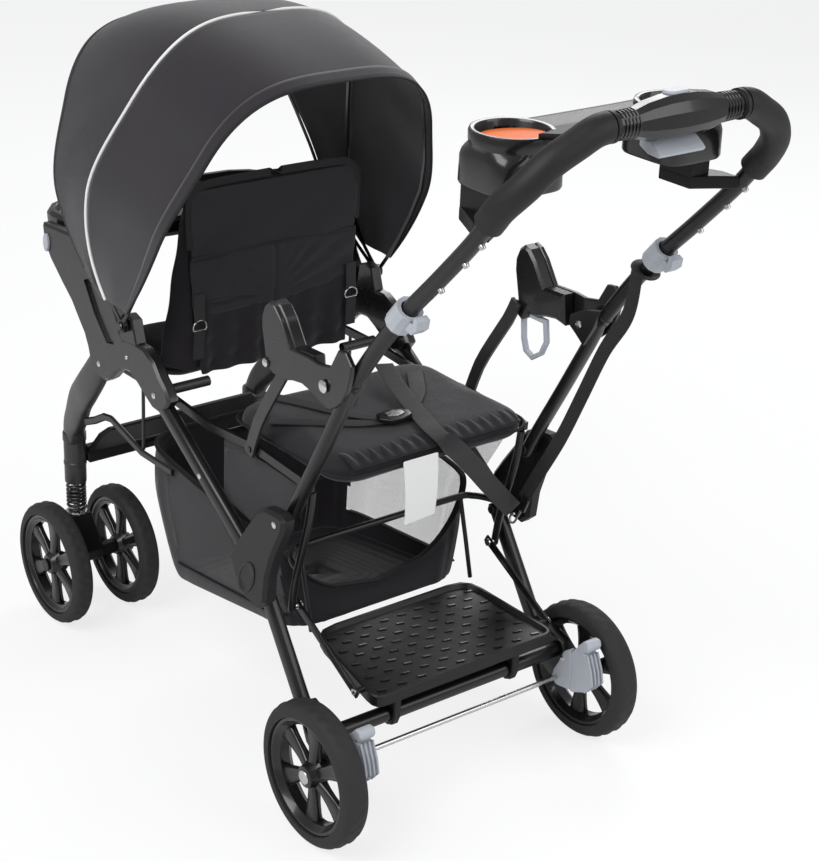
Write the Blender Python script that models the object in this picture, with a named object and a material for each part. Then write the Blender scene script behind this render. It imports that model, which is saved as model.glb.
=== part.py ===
"""Sit and stand stroller: a folding pushchair with a canopied front seat and a rear seat above a
standing platform. Metres, +Z up; it faces -Y and its left side is +X. Points are written from
the rear axle (y) and the ground (z), and one empty moves them so that the origin lies under the
middle of the whole stroller."""
import math

import bmesh
import bpy
from mathutils import Vector

for old in list(bpy.data.objects):
    bpy.data.objects.remove(old, do_unlink=True)

GAP = 0.0003          # between two pieces that touch
FIT = 0.0004          # radial clearance of a pin in its bore
LEFT, RIGHT = 1.0, -1.0
SIDES = (("left", LEFT), ("right", RIGHT))

# Wheels
REAR_RADIUS, REAR_WIDTH, REAR_X = 0.108, 0.040, 0.2527
REAR_TYRE = 0.0215
FRONT_RADIUS, FRONT_WIDTH, FRONT_TYRE = 0.104, 0.034, 0.019
WHEELBASE = 0.762
CASTER_X = 0.1785
CASTER_TRACK = 0.126
CASTER_TRAIL = 0.038
AXLE_RADIUS = 0.006
HUB_RADIUS = 0.017
SPOKES = 6

# Strut under each front leg
SLEEVE_RADIUS, SLEEVE_TOP, SLEEVE_BOTTOM = 0.0185, 0.312, 0.223
STEM_RADIUS = 0.0058
STEM_BOTTOM, STEM_TOP = 0.140, 0.283
CROWN_TOP = 0.166
SPRING_SEAT = 0.0032
SPRING_RADIUS, SPRING_WIRE, SPRING_CURLS = 0.0145, 0.0026, 5

# Frame tubes, each in its own layer across the width
TUBE_X, TUBE_HALF_X, TUBE_HALF = 0.2175, 0.0110, 0.0088
LEG_HALF_X, LEG_HALF = 0.0100, 0.0120
UPPER_TUBE_RADIUS = 0.0110
FRONT_TUBE_X, FRONT_TUBE_HALF_X, FRONT_TUBE_HALF = 0.2215, 0.0100, 0.0140
LINK_IN, LINK_OUT = 0.1985, 0.2045
RAIL_IN, RAIL_OUT, RAIL_HALF = 0.1900, 0.1975, 0.0070
HOUSING_IN, HOUSING_OUT = 0.2120, 0.2320
HUB_THICK = 0.0240
ARMREST_PLATE = 0.0080
PIVOT_PIN = 0.0040
HEAD_RADIUS, HEAD_THICK = 0.0075, 0.0024

# Pivots (y, z)
HANDLE_PIVOT = (-0.117, 0.445)
LEG_PIVOT = (-0.180, 0.318)
LINK_PIVOT = (-0.240, 0.500)
ARMREST_PIVOT = (-0.018, 0.682)
ARMREST_FRONT_BOLT = (-0.151, 0.670)
CANOPY_PIVOT = (-0.530, 0.600)
BAR_PIVOT = (-0.150, 0.283)
BAR_END = (-0.010, 0.209)
CROSS_TUBE = (-0.015, 0.150)
BRAKE_ROD = (0.002, 0.112)
BACKREST_PIVOT = (-0.470, 0.508)

# Canopy
CANOPY_HEIGHT, CANOPY_FRONT_HEIGHT = 0.443, 0.470
CANOPY_POWER = 3.4
CANOPY_DRAW = 0.020      # how much narrower each side is above the housings than at the pivot
REAR_BOW_ANGLE, MIDDLE_BOW_ANGLE, FRONT_BOW_ANGLE = 62.0, 88.0, 122.5
REAR_BULGE, MIDDLE_BULGE, FRONT_BULGE = 0.018, -0.096, -0.080
BOW_THICK, BOW_WIDTH, BOW_STEP = 0.0022, 0.0070, 0.0027
FABRIC_THICK = 0.0016

# Handle
GRIP_RADIUS = 0.019
CONSOLE_HALF_LENGTH = 0.100
HANDLE_REAR = 0.329
HANDLE_TOP = 1.087
COLLAR_RADIUS, COLLAR_LENGTH, COLLAR_EASE = 0.0185, 0.034, 0.0012
CUP_BORE, CUP_RIM, CUP_BOX = 0.0430, 0.0525, 0.1020
CUP_X, CUP_Y = 0.133, 0.199
CUP_BASE, CUP_TOP, CUP_WALL = 0.990, 1.060, 0.006

# Seats, platform, basket and trays
SEAT_BASE, PAD_THICK = 0.4925, 0.0395
SEAT_TOP = SEAT_BASE + PAD_THICK
PAD_EASE, BACK_EASE = 0.0100, 0.0300
PAD_HALF_WIDTH, BACK_HALF_WIDTH = RAIL_IN - PAD_EASE, RAIL_IN - BACK_EASE
BACK_TOP, BACK_THICK = 0.820, 0.026
PLATFORM_HALF_WIDTH, PLATFORM_THICK, PLATFORM_RIM = 0.166, 0.016, 0.006
CLOTH_WALL = 0.0035
TRAY_BASE, TRAY_DEPTH, TRAY_END_GAP = 0.668, 0.034, 0.0005
TRAY_TOP = TRAY_BASE + TRAY_DEPTH
TRAY_HALF_WIDTH = HOUSING_IN - TRAY_END_GAP
TRAY_HINGE_Y = -0.790
BUTTON_TRAVEL = 0.003

FRONT_REACH = WHEELBASE + FRONT_RADIUS
CONSOLE_DEPTH = 0.0220
REAR_REACH = HANDLE_REAR + CONSOLE_DEPTH
ORIGIN_SHIFT = (FRONT_REACH - REAR_REACH) / 2

stroller = bpy.data.objects.new("stroller", None)
bpy.context.scene.collection.objects.link(stroller)
stroller.location = (0.0, ORIGIN_SHIFT, 0.0)


# Materials
def material(name, colour, roughness, metallic=0.0):
    made = bpy.data.materials.new(name)
    made.use_nodes = True
    shader = made.node_tree.nodes["Principled BSDF"]
    shader.inputs["Base Color"].default_value = (*colour, 1.0)
    shader.inputs["Roughness"].default_value = roughness
    shader.inputs["Metallic"].default_value = metallic
    return made


FRAME_PAINT = material("frame paint", (0.020, 0.019, 0.019), 0.35)
LEG_PAINT = material("charcoal paint", (0.060, 0.056, 0.055), 0.45)
BLACK_PLASTIC = material("black plastic", (0.018, 0.017, 0.017), 0.40)
GREY_PLASTIC = material("light grey plastic", (0.55, 0.57, 0.62), 0.45)
TYRE = material("tyre", (0.045, 0.042, 0.045), 0.80)
FOAM = material("foam grip", (0.016, 0.016, 0.016), 0.65)
CLOTH = material("woven cloth", (0.030, 0.025, 0.032), 0.90)
CHROME = material("chrome", (0.75, 0.75, 0.76), 0.15, 1.0)


# Shapes
def skin(rings, closed=False):
    """Join rings of equal count into a body; it is capped at both ends, or closes on itself."""
    body = bmesh.new()
    loops = [[body.verts.new(point) for point in ring] for ring in rings]
    pairs = list(zip(loops, loops[1:] + loops[:1])) if closed else list(zip(loops, loops[1:]))
    for low, high in pairs:
        for i in range(len(low)):
            j = (i + 1) % len(low)
            body.faces.new((low[i], low[j], high[j], high[i]))
    if not closed:
        body.faces.new(loops[0])
        body.faces.new(loops[-1])
    bmesh.ops.recalc_face_normals(body, faces=body.faces)
    return body


def oval(half_a, half_b, sides, power=2.0):
    """Superellipse section as (a, b) pairs."""
    section = []
    for i in range(sides):
        turn = 2 * math.pi * (i + 0.5) / sides
        c, s = math.cos(turn), math.sin(turn)
        section.append((half_a * math.copysign(abs(c) ** (2 / power), c),
                        half_b * math.copysign(abs(s) ** (2 / power), s)))
    return section


def curve(points, steps=4):
    """Catmull-Rom curve through points."""
    known = [Vector(p) for p in points]
    ends = [2 * known[0] - known[1]] + known + [2 * known[-1] - known[-2]]
    path = []
    for a, b, c, d in zip(ends, ends[1:], ends[2:], ends[3:]):
        for k in range(steps):
            t = k / steps
            path.append(0.5 * (2 * b + (c - a) * t + (2 * a - 5 * b + 4 * c - d) * t ** 2
                               + (3 * b - a - 3 * c + d) * t ** 3))
    return path + [known[-1]]


def sweep(path, halves, sides=12, power=2.0, across=(1.0, 0.0, 0.0)):
    """Tube along a path; halves is (across, other) once, or once per point."""
    path = [Vector(p) for p in path]
    if isinstance(halves, tuple):
        halves = [halves] * len(path)
    side = Vector(across)
    rings = []
    for i, centre in enumerate(path):
        ahead = path[min(i + 1, len(path) - 1)] - centre
        behind = centre - path[max(i - 1, 0)]
        tangent = (ahead.normalized() + behind.normalized()).normalized()
        if abs(side.dot(tangent)) > 0.95:
            side = Vector((0.0, 0.0, 1.0))
        side = (side - side.dot(tangent) * tangent).normalized()
        other = tangent.cross(side)
        rings.append([centre + a * side + b * other for a, b in oval(*halves[i], sides, power)])
    return skin(rings)


def inset(outline, depth):
    """Move a closed outline inwards by depth."""
    area = sum(a[0] * b[1] - b[0] * a[1] for a, b in zip(outline, outline[1:] + outline[:1]))
    points = outline if area > 0 else outline[::-1]
    moved = []
    for before, here, after in zip(points[-1:] + points[:-1], points, points[1:] + points[:1]):
        into = Vector(here) - Vector(before)
        out = Vector(after) - Vector(here)
        normal = (into.normalized() + out.normalized()).normalized()
        inward = Vector((-normal.y, normal.x))
        stretch = max(0.5, abs(normal.dot(out.normalized())))
        moved.append(tuple(Vector(here) + inward * depth / stretch))
    return moved


def placed(outline, axis, level):
    """Put a flat outline in space: (y, z) at x, (x, z) at y, or (x, y) at z."""
    order = {"x": lambda a, b: (level, a, b), "y": lambda a, b: (a, level, b),
             "z": lambda a, b: (a, b, level)}[axis]
    return [order(a, b) for a, b in outline]


def plate(outline, axis, low, high, chamfer=0.0):
    """Extrude an outline from low to high along an axis, with chamfered edges."""
    low, high = min(low, high), max(low, high)
    if chamfer <= 0:
        full = inset(outline, 0.0)
        return skin([placed(full, axis, low), placed(full, axis, high)])
    full, small = inset(outline, 0.0), inset(outline, chamfer)
    return skin([placed(small, axis, low), placed(full, axis, low + chamfer),
                 placed(full, axis, high - chamfer), placed(small, axis, high)])


def turned(profile, centre, axis=(1.0, 0.0, 0.0), sides=24, closed=False):
    """Turn (along, radius) pairs about an axis; closed makes a ring with an open bore."""
    axis = Vector(axis).normalized()
    start = Vector((0.0, 0.0, 1.0)) if abs(axis.z) < 0.9 else Vector((1.0, 0.0, 0.0))
    u = (start - start.dot(axis) * axis).normalized()
    v = axis.cross(u)
    turns = [2 * math.pi * i / sides for i in range(sides)]
    rings = [[Vector(centre) + along * axis + radius * (math.cos(t) * u + math.sin(t) * v)
              for t in turns] for along, radius in profile]
    return skin(rings, closed)


def pin(centre_yz, x_low, x_high, radius, sides=16):
    low, high = min(x_low, x_high), max(x_low, x_high)
    return turned([(low, radius), (high, radius)], (0.0, *centre_yz), sides=sides)


def box(low, high):
    body = bmesh.new()
    bmesh.ops.create_cube(body, size=1.0)
    for vert in body.verts:
        vert.co = Vector(low[i] + (vert.co[i] + 0.5) * (high[i] - low[i]) for i in range(3))
    return body


def rounded(centre, width, depth, radius, steps=3):
    """Rounded rectangle as an outline."""
    outline = []
    for k, (sx, sy) in enumerate(((1, 1), (-1, 1), (-1, -1), (1, -1))):
        cx, cy = centre[0] + sx * (width / 2 - radius), centre[1] + sy * (depth / 2 - radius)
        for i in range(steps + 1):
            turn = math.pi / 2 * (k + i / steps)
            outline.append((cx + radius * math.cos(turn), cy + radius * math.sin(turn)))
    return outline


def mirrored(body, side):
    """Flip a body made for the left side when it is for the right."""
    if side < 0:
        bmesh.ops.scale(body, vec=(-1.0, 1.0, 1.0), verts=body.verts)
        bmesh.ops.reverse_faces(body, faces=body.faces)
    return body


def piece(name, body, look, pivot=(0.0, 0.0, 0.0)):
    """One part of the stroller, with its origin at its pivot."""
    bmesh.ops.translate(body, vec=-Vector(pivot), verts=body.verts)
    mesh = bpy.data.meshes.new(name)
    body.to_mesh(mesh)
    body.free()
    mesh.materials.append(look)
    mesh.shade_smooth()
    mesh.set_sharp_from_angle(angle=math.radians(35))
    made = bpy.data.objects.new(name, mesh)
    bpy.context.scene.collection.objects.link(made)
    made.parent = stroller
    made.location = pivot
    return made


def boolean(target, body, operation):
    mesh = bpy.data.meshes.new(f"{target.name} {operation.lower()}")
    body.to_mesh(mesh)
    body.free()
    tool = bpy.data.objects.new(mesh.name, mesh)
    bpy.context.scene.collection.objects.link(tool)
    tool.parent = stroller
    tool.display_type = "WIRE"
    tool.hide_render = True
    step = target.modifiers.new(mesh.name, "BOOLEAN")
    step.operation = operation
    step.object = tool
    step.solver = "EXACT"


def join(target, *bodies):
    for body in bodies:
        boolean(target, body, "UNION")


def cut(target, *bodies):
    for body in bodies:
        boolean(target, body, "DIFFERENCE")


def together(*bodies):
    """Put separate bodies in one tool."""
    merged = bmesh.new()
    for body in bodies:
        mesh = bpy.data.meshes.new("tool")
        body.to_mesh(mesh)
        body.free()
        merged.from_mesh(mesh)
        bpy.data.meshes.remove(mesh)
    return merged


# Wheels
def spoke_windows(inner, outer, x, axle_yz, turn=0.0):
    """The six openings that leave broad blades between hub and rim."""
    pieces = []
    for k in range(SPOKES):
        middle = 2 * math.pi * (k + turn) / SPOKES
        half_in, half_out = math.radians(10), math.radians(20)
        corners = [(inner, -half_in), (outer, -half_out), (outer, half_out), (inner, half_in)]
        outline = [(axle_yz[0] + r * math.cos(middle + a), axle_yz[1] + r * math.sin(middle + a))
                   for r, a in corners]
        pieces.append(plate(outline, "x", x - 0.03, x + 0.03))
    return together(*pieces)


def rim_profile(rim_radius, hub_half, rim_half):
    """Closed section of hub, web and rim around an axle bore."""
    bore = AXLE_RADIUS + FIT
    web_in, web_out = HUB_RADIUS + 0.003, rim_radius - 0.018
    left = [(-hub_half, bore), (-hub_half, HUB_RADIUS), (-0.006, web_in), (-0.006, web_out),
            (-rim_half, rim_radius)]
    return left + [(-x, r) for x, r in reversed(left)]


for side_name, side in SIDES:
    x = side * REAR_X
    axle = (0.0, REAR_RADIUS)
    rim_radius = REAR_RADIUS - REAR_TYRE
    half = REAR_WIDTH / 2
    profile = rim_profile(rim_radius, half - 0.001, half - 0.0035)
    wheel = piece(f"rear_wheel_{side_name}", turned(profile, (x, *axle), sides=20, closed=True),
                  BLACK_PLASTIC, (x, *axle))
    cut(wheel, spoke_windows(HUB_RADIUS + 0.010, rim_radius - 0.019, x, axle))
    tyre_in = rim_radius + GAP
    tyre = [(-half, tyre_in), (-half, REAR_RADIUS - 0.009), (-0.010, REAR_RADIUS), (0.010, REAR_RADIUS),
            (half, REAR_RADIUS - 0.009), (half, tyre_in)]
    piece(f"rear_tyre_{side_name}", turned(tyre, (x, *axle), sides=20, closed=True), TYRE,
          (x, *axle))

for side_name, side in SIDES:
    for place, offset in (("outer", 1.0), ("inner", -1.0)):
        x = side * (CASTER_X + offset * CASTER_TRACK / 2)
        axle = (-WHEELBASE, FRONT_RADIUS)
        half = FRONT_WIDTH / 2
        rim_radius = FRONT_RADIUS - FRONT_TYRE
        profile = rim_profile(rim_radius, half, half)
        tread = [(-half, FRONT_RADIUS - 0.007), (-half + 0.006, FRONT_RADIUS),
                 (half - 0.006, FRONT_RADIUS), (half, FRONT_RADIUS - 0.007)]
        profile = profile[:4] + tread + profile[6:]
        wheel = piece(f"front_wheel_{side_name}_{place}",
                      turned(profile, (x, *axle), sides=16, closed=True), TYRE, (x, *axle))
        cut(wheel, spoke_windows(HUB_RADIUS + 0.010, rim_radius - 0.019, x, axle, 0.5))

# Casters: stem, fork and spring
STRUT_Y = -WHEELBASE - CASTER_TRAIL
CROWN_BOTTOM = CROWN_TOP - 0.028
SPRING_LOW = CROWN_TOP + GAP + SPRING_SEAT + GAP
SPRING_HIGH = SLEEVE_BOTTOM - GAP

for side_name, side in SIDES:
    strut = (side * CASTER_X, STRUT_Y)
    stem_profile = [(STEM_BOTTOM, STEM_RADIUS), (CROWN_TOP + GAP, STEM_RADIUS),
                    (CROWN_TOP + GAP, SLEEVE_RADIUS), (CROWN_TOP + GAP + SPRING_SEAT, SLEEVE_RADIUS),
                    (CROWN_TOP + GAP + SPRING_SEAT, STEM_RADIUS), (STEM_TOP, STEM_RADIUS)]
    piece(f"caster_stem_{side_name}", turned(stem_profile, (*strut, 0.0), (0, 0, 1), 10), CHROME,
          (*strut, 0.0))

    back, front = STRUT_Y + 0.020, STRUT_Y - 0.021
    axle_y, axle_z = -WHEELBASE, FRONT_RADIUS
    outline = [(front, CROWN_TOP - 0.008), (front + 0.006, CROWN_TOP), (back - 0.004, CROWN_TOP),
               (back + 0.012, CROWN_TOP - 0.022), (axle_y + 0.015, axle_z + 0.008),
               (axle_y + 0.014, axle_z - 0.006), (axle_y + 0.004, axle_z - 0.014),
               (axle_y - 0.010, axle_z - 0.012), (STRUT_Y - 0.004, STEM_BOTTOM - 0.014),
               (front, STEM_BOTTOM - 0.002)]
    fork = piece(f"caster_fork_{side_name}",
                 plate(outline, "x", side * (CASTER_X - 0.021), side * (CASTER_X + 0.021), 0.003),
                 BLACK_PLASTIC, (*strut, 0.0))
    wheel_in = CASTER_TRACK / 2 - FRONT_WIDTH / 2 - GAP
    wheel_out = CASTER_TRACK / 2 + FRONT_WIDTH / 2 + GAP
    axle = [(-wheel_out - 0.003, HUB_RADIUS - 0.006), (-wheel_out, HUB_RADIUS - 0.006),
            (-wheel_out, AXLE_RADIUS), (-wheel_in, AXLE_RADIUS), (-wheel_in, HUB_RADIUS - 0.004)]
    axle = axle + [(-x, r) for x, r in reversed(axle)]
    join(fork, turned(axle, (strut[0], axle_y, axle_z), sides=10))
    cut(fork, turned([(STEM_BOTTOM - GAP, STEM_RADIUS + FIT), (CROWN_TOP + 0.01, STEM_RADIUS + FIT)],
                     (*strut, 0.0), (0, 0, 1), 10))

    wire = SPRING_WIRE
    rise = SPRING_HIGH - SPRING_LOW - 6 * wire
    coil = [(strut[0] + SPRING_RADIUS, strut[1], SPRING_LOW)]
    steps = SPRING_CURLS * 8
    for k in range(steps + 1):
        turn = 2 * math.pi * k / 8
        coil.append((strut[0] + SPRING_RADIUS * math.cos(turn),
                     strut[1] + SPRING_RADIUS * math.sin(turn), SPRING_LOW + 3 * wire + rise * k / steps))
    coil.append((coil[-1][0], coil[-1][1], SPRING_HIGH))
    piece(f"suspension_spring_{side_name}", sweep(coil, (wire, wire), 5, across=(0, 1, 0)),
          BLACK_PLASTIC, (*strut, SPRING_HIGH))

print(f"least gap between spring curls: {(rise / SPRING_CURLS - 2 * SPRING_WIRE) * 1000:.2f} mm")


# Front frame
ARM_AND_COVER = [
    (-0.784, 0.690), (-0.779, 0.659), (-0.760, 0.636), (-0.726, 0.608), (-0.697, 0.586),
    (-0.675, 0.561), (-0.660, 0.545), (-0.650, 0.526), (-0.642, 0.500), (-0.625, 0.487),
    (-0.600, 0.484), (-0.580, 0.496), (-0.562, 0.513), (-0.543, 0.524), (-0.522, 0.525),
    (-0.500, 0.514), (-0.477, 0.500), (-0.459, 0.490), (-0.441, 0.489), (-0.423, 0.500),
    (-0.411, 0.516), (-0.424, 0.534), (-0.438, 0.545), (-0.455, 0.565), (-0.482, 0.578),
    (-0.518, 0.578), (-0.542, 0.574), (-0.549, 0.582), (-0.553, 0.595), (-0.567, 0.614),
    (-0.583, 0.640), (-0.599, 0.663), (-0.627, 0.679), (-0.655, 0.689), (-0.680, 0.697)]
RECESS = [(-0.655, 0.634), (-0.625, 0.588), (-0.590, 0.552), (-0.568, 0.556), (-0.566, 0.576),
          (-0.592, 0.616), (-0.640, 0.640)]
BUTTON_YZ = (-0.768, 0.662)
BUTTON_HALF = (0.0075, 0.0150)


def ellipse(centre, half_a, half_b, sides=12):
    return [(centre[0] + a, centre[1] + b) for a, b in oval(half_a, half_b, sides)]


LEG_PATH = [(0.2100, -0.640, 0.505), (0.2085, -0.668, 0.470), (0.2055, -0.703, 0.432),
            (0.1985, -0.738, 0.398), (0.1905, -0.766, 0.361), (0.1840, -0.788, 0.332),
            (CASTER_X, STRUT_Y, SLEEVE_TOP - 0.012)]
LEG_HALVES = [(0.0115, 0.022), (0.0120, 0.025), (0.0125, 0.0265), (0.0130, 0.0265),
              (0.0140, 0.0245), (0.0150, 0.0210), (0.0160, 0.0170)]


def leg_body(side, extra=0.0):
    halves = [(a + extra, b + extra) for a, b in LEG_HALVES]
    return mirrored(sweep(LEG_PATH, halves, 8, 2.8), side)


for side_name, side in SIDES:
    housing = piece(f"side_housing_{side_name}",
                    plate(ARM_AND_COVER, "x", side * HOUSING_IN, side * HOUSING_OUT, 0.004),
                    BLACK_PLASTIC)
    cut(housing, plate(RECESS, "x", side * (HOUSING_OUT - 0.005), side * (HOUSING_OUT + 0.01)))
    cut(housing, plate(ellipse(BUTTON_YZ, BUTTON_HALF[0] + FIT, BUTTON_HALF[1] + FIT), "x",
                       side * (HOUSING_OUT - 0.010), side * (HOUSING_OUT + 0.01)))
    bow_stack = 3 * BOW_STEP + 0.0024
    canopy_pin = [(HOUSING_OUT - 0.004, PIVOT_PIN), (HOUSING_OUT + bow_stack, PIVOT_PIN),
                  (HOUSING_OUT + bow_stack, HEAD_RADIUS),
                  (HOUSING_OUT + bow_stack + HEAD_THICK, HEAD_RADIUS - 0.002)]
    ear = [(-0.552, 0.570), (-0.545, 0.612), (-0.530, 0.617), (-0.514, 0.612), (-0.500, 0.570)]
    join(housing, mirrored(plate(ear, "x", HOUSING_IN, HOUSING_OUT - 0.0005, 0.002), side),
         mirrored(turned(canopy_pin, (0.0, *CANOPY_PIVOT), sides=10), side))

    button_low = HOUSING_OUT - 0.010 + BUTTON_TRAVEL + GAP
    piece(f"tray_button_{side_name}",
          mirrored(plate(ellipse(BUTTON_YZ, *BUTTON_HALF), "x", button_low,
                         HOUSING_OUT + BUTTON_TRAVEL + 0.0012, 0.0012), side),
          GREY_PLASTIC, (side * HOUSING_OUT, *BUTTON_YZ))

    leg = piece(f"front_leg_{side_name}", leg_body(side), LEG_PAINT)
    sleeve = [(SLEEVE_BOTTOM, SLEEVE_RADIUS), (SLEEVE_TOP - 0.012, SLEEVE_RADIUS),
              (SLEEVE_TOP - 0.012, SLEEVE_RADIUS + 0.0012), (SLEEVE_TOP, SLEEVE_RADIUS + 0.0012)]
    join(leg, turned(sleeve, (side * CASTER_X, STRUT_Y, 0.0), (0, 0, 1), 12))
    bore = [(SLEEVE_BOTTOM - 0.01, STEM_RADIUS + FIT), (SLEEVE_TOP - 0.010, STEM_RADIUS + FIT)]
    cut(leg, turned(bore, (side * CASTER_X, STRUT_Y, 0.0), (0, 0, 1), 10),
        plate(inset(ARM_AND_COVER, -GAP), "x", side * (HOUSING_IN - GAP), side * (HOUSING_OUT + 0.01)))

# Front tubes run from the side housings back to the hub housings
FRONT_TUBE_TOP, FRONT_TUBE_END = (-0.462, 0.5135), (-0.203, 0.3478)
HUB_COVER = [(-0.155, 0.444), (-0.194, 0.391), (-0.214, 0.361), (-0.200, 0.330), (-0.174, 0.306),
             (-0.143, 0.303), (-0.126, 0.318), (-0.121, 0.360), (-0.110, 0.394), (-0.084, 0.446),
             (-0.081, 0.464), (-0.094, 0.470), (-0.126, 0.467), (-0.145, 0.458)]
HUB_IN = FRONT_TUBE_X + FRONT_TUBE_HALF_X + GAP

for side_name, side in SIDES:
    ends = [(FRONT_TUBE_X, *FRONT_TUBE_TOP), (FRONT_TUBE_X, *FRONT_TUBE_END)]
    tube = piece(f"front_tube_{side_name}",
                 mirrored(sweep(ends, (FRONT_TUBE_HALF_X, FRONT_TUBE_HALF), 12, 2.6), side),
                 FRAME_PAINT)
    cut(tube, plate(inset(ARM_AND_COVER, -GAP), "x", side * (HOUSING_IN - GAP),
                    side * (HOUSING_OUT + 0.01)))

    hub = piece(f"hub_housing_{side_name}",
                plate(HUB_COVER, "x", side * HUB_IN, side * (HUB_IN + HUB_THICK), 0.005), LEG_PAINT)
    for pivot in (HANDLE_PIVOT, LEG_PIVOT):
        bolt = [(HUB_IN + 0.004, PIVOT_PIN), (TUBE_X - TUBE_HALF_X - GAP, PIVOT_PIN),
                (TUBE_X - TUBE_HALF_X - GAP, HEAD_RADIUS),
                (TUBE_X - TUBE_HALF_X - GAP - HEAD_THICK, HEAD_RADIUS - 0.001)]
        join(hub, mirrored(turned(bolt, (0.0, *pivot), sides=10), side))


# Seat frame: two rails and three cross rods, with the pivots of the curved links
RAIL_PATH = [(-0.690, 0.4975), (-0.475, 0.4985), (-0.359, 0.4900), (-0.240, 0.5000), (-0.100, 0.4920)]
ROD_RADIUS = 0.0050
ROD_Z = SEAT_BASE - GAP - ROD_RADIUS
RAIL_MIDDLE = (RAIL_IN + RAIL_OUT) / 2
rails = []
for side in (LEFT, RIGHT):
    path = [(RAIL_MIDDLE, y, z) for y, z in RAIL_PATH]
    halves = ((RAIL_OUT - RAIL_IN) / 2, RAIL_HALF)
    rails.append(mirrored(sweep(path, halves, 4, 8.0), side))
seat_frame = piece("seat_frame", rails[0], FRAME_PAINT)
join(seat_frame, rails[1])
for rod_y in (-0.640, -0.330, -0.135):
    join(seat_frame, pin((rod_y, ROD_Z), -RAIL_MIDDLE, RAIL_MIDDLE, ROD_RADIUS, 8))
for side in (LEFT, RIGHT):
    for y, z in ((-0.610, 0.4980), (-0.450, 0.5000)):
        join(seat_frame, mirrored(pin((y, z), RAIL_OUT - 0.002, HOUSING_IN - GAP, 0.006, 8), side))
    link_pin = [(RAIL_OUT - 0.002, PIVOT_PIN), (LINK_OUT + 0.001, PIVOT_PIN)]
    join(seat_frame, mirrored(turned(link_pin, (0.0, *LINK_PIVOT), sides=10), side))


# Cushions and cloth bodies
def cushion(outline, low, high, draw, crown, pinch):
    """Pad with a crowned top and drawn-in sides, for an (x, y) outline."""
    middle = (low + high) / 2
    rings = [placed(inset(outline, crown * 2), "z", low), placed(inset(outline, draw), "z", low + pinch),
             placed(inset(outline, 0.0), "z", middle - pinch),
             placed(inset(outline, draw * 0.4), "z", middle),
             placed(inset(outline, 0.0), "z", middle + pinch),
             placed(inset(outline, draw), "z", high - pinch),
             placed(inset(outline, crown), "z", high - pinch * 0.4),
             placed(inset(outline, crown * 2.4), "z", high)]
    return skin(rings)


rear_pad = [(PAD_HALF_WIDTH - 0.024, -0.342), (PAD_HALF_WIDTH - 0.006, -0.336),
            (PAD_HALF_WIDTH, -0.320), (PAD_HALF_WIDTH, -0.150), (PAD_HALF_WIDTH - 0.002, -0.110),
            (PAD_HALF_WIDTH - 0.010, -0.084), (PAD_HALF_WIDTH - 0.030, -0.068),
            (PAD_HALF_WIDTH - 0.070, -0.062), (0.0, -0.060)]
rear_pad = rear_pad + [(-x, y) for x, y in reversed(rear_pad[:-1])]
piece("rear_seat_pad", cushion(rear_pad, SEAT_BASE, SEAT_TOP, 0.004, 0.016, 0.006), CLOTH)

front_pad = rounded((0.0, -0.608), 0.344, 0.176, 0.030, 4)
piece("front_seat_pad", cushion(front_pad, SEAT_BASE, SEAT_TOP, 0.004, 0.016, 0.006), CLOTH)

BACK_FACE = -0.478
half = BACK_HALF_WIDTH
back_panel = [(half - 0.022, 0.516), (half - 0.016, 0.560), (half - 0.010, 0.620),
              (half - 0.004, 0.700), (half, 0.770), (half - 0.003, BACK_TOP - 0.022),
              (half - 0.014, BACK_TOP - 0.009), (half - 0.034, BACK_TOP - 0.002), (0.05, BACK_TOP)]
back_panel = back_panel + [(-x, z) for x, z in reversed(back_panel)]
rings = [placed(inset(back_panel, depth), "y", BACK_FACE - back * BACK_THICK)
         for depth, back in ((0.016, 0.0), (0.006, 0.10), (0.0, 0.32), (0.0014, 0.5), (0.0, 0.68),
                             (0.006, 0.90), (0.022, 1.0))]
backrest = piece("backrest", skin(rings), CLOTH, (0.0, *BACKREST_PIVOT))
for side in (LEFT, RIGHT):
    ear = mirrored(pin(BACKREST_PIVOT, half - 0.035, RAIL_IN - GAP, 0.008, 14), side)
    strap_plate = mirrored(box((half - 0.036, BACK_FACE - 0.018, BACKREST_PIVOT[1] - 0.006),
                               (half - 0.024, BACKREST_PIVOT[0] + 0.004, BACKREST_PIVOT[1] + 0.030)), side)
    join(backrest, strap_plate, ear)

# Basket: a cloth tub hung in its frame, open at the top
BASKET_LEVELS = [  # front y, front z, rear y, rear z, half width
    (-0.530, 0.158, -0.188, 0.214, 0.158), (-0.556, 0.172, -0.186, 0.222, 0.168),
    (-0.575, 0.290, -0.1905, 0.290, 0.186), (-0.571, 0.352, -0.195, 0.330, 0.191),
    (-0.553, 0.402, -0.198, 0.362, 0.195)]


def basket_ring(level, wall, lift=0.0):
    front_y, front_z, rear_y, rear_z, half_x = level
    outline = rounded((0.0, (front_y + rear_y) / 2), 2 * (half_x - wall),
                      rear_y - front_y - 2 * wall, 0.024, 3)
    slope = (rear_z - front_z) / (rear_y - front_y)
    return [(x, y, front_z + slope * (y - front_y) + lift) for x, y in outline]


outer = [basket_ring(level, 0.0) for level in BASKET_LEVELS]
inner = [basket_ring(level, CLOTH_WALL) for level in reversed(BASKET_LEVELS[1:])]
floor = basket_ring(BASKET_LEVELS[0], CLOTH_WALL + 0.004, CLOTH_WALL)
piece("basket", skin(outer + inner + [floor]), CLOTH)

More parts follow.
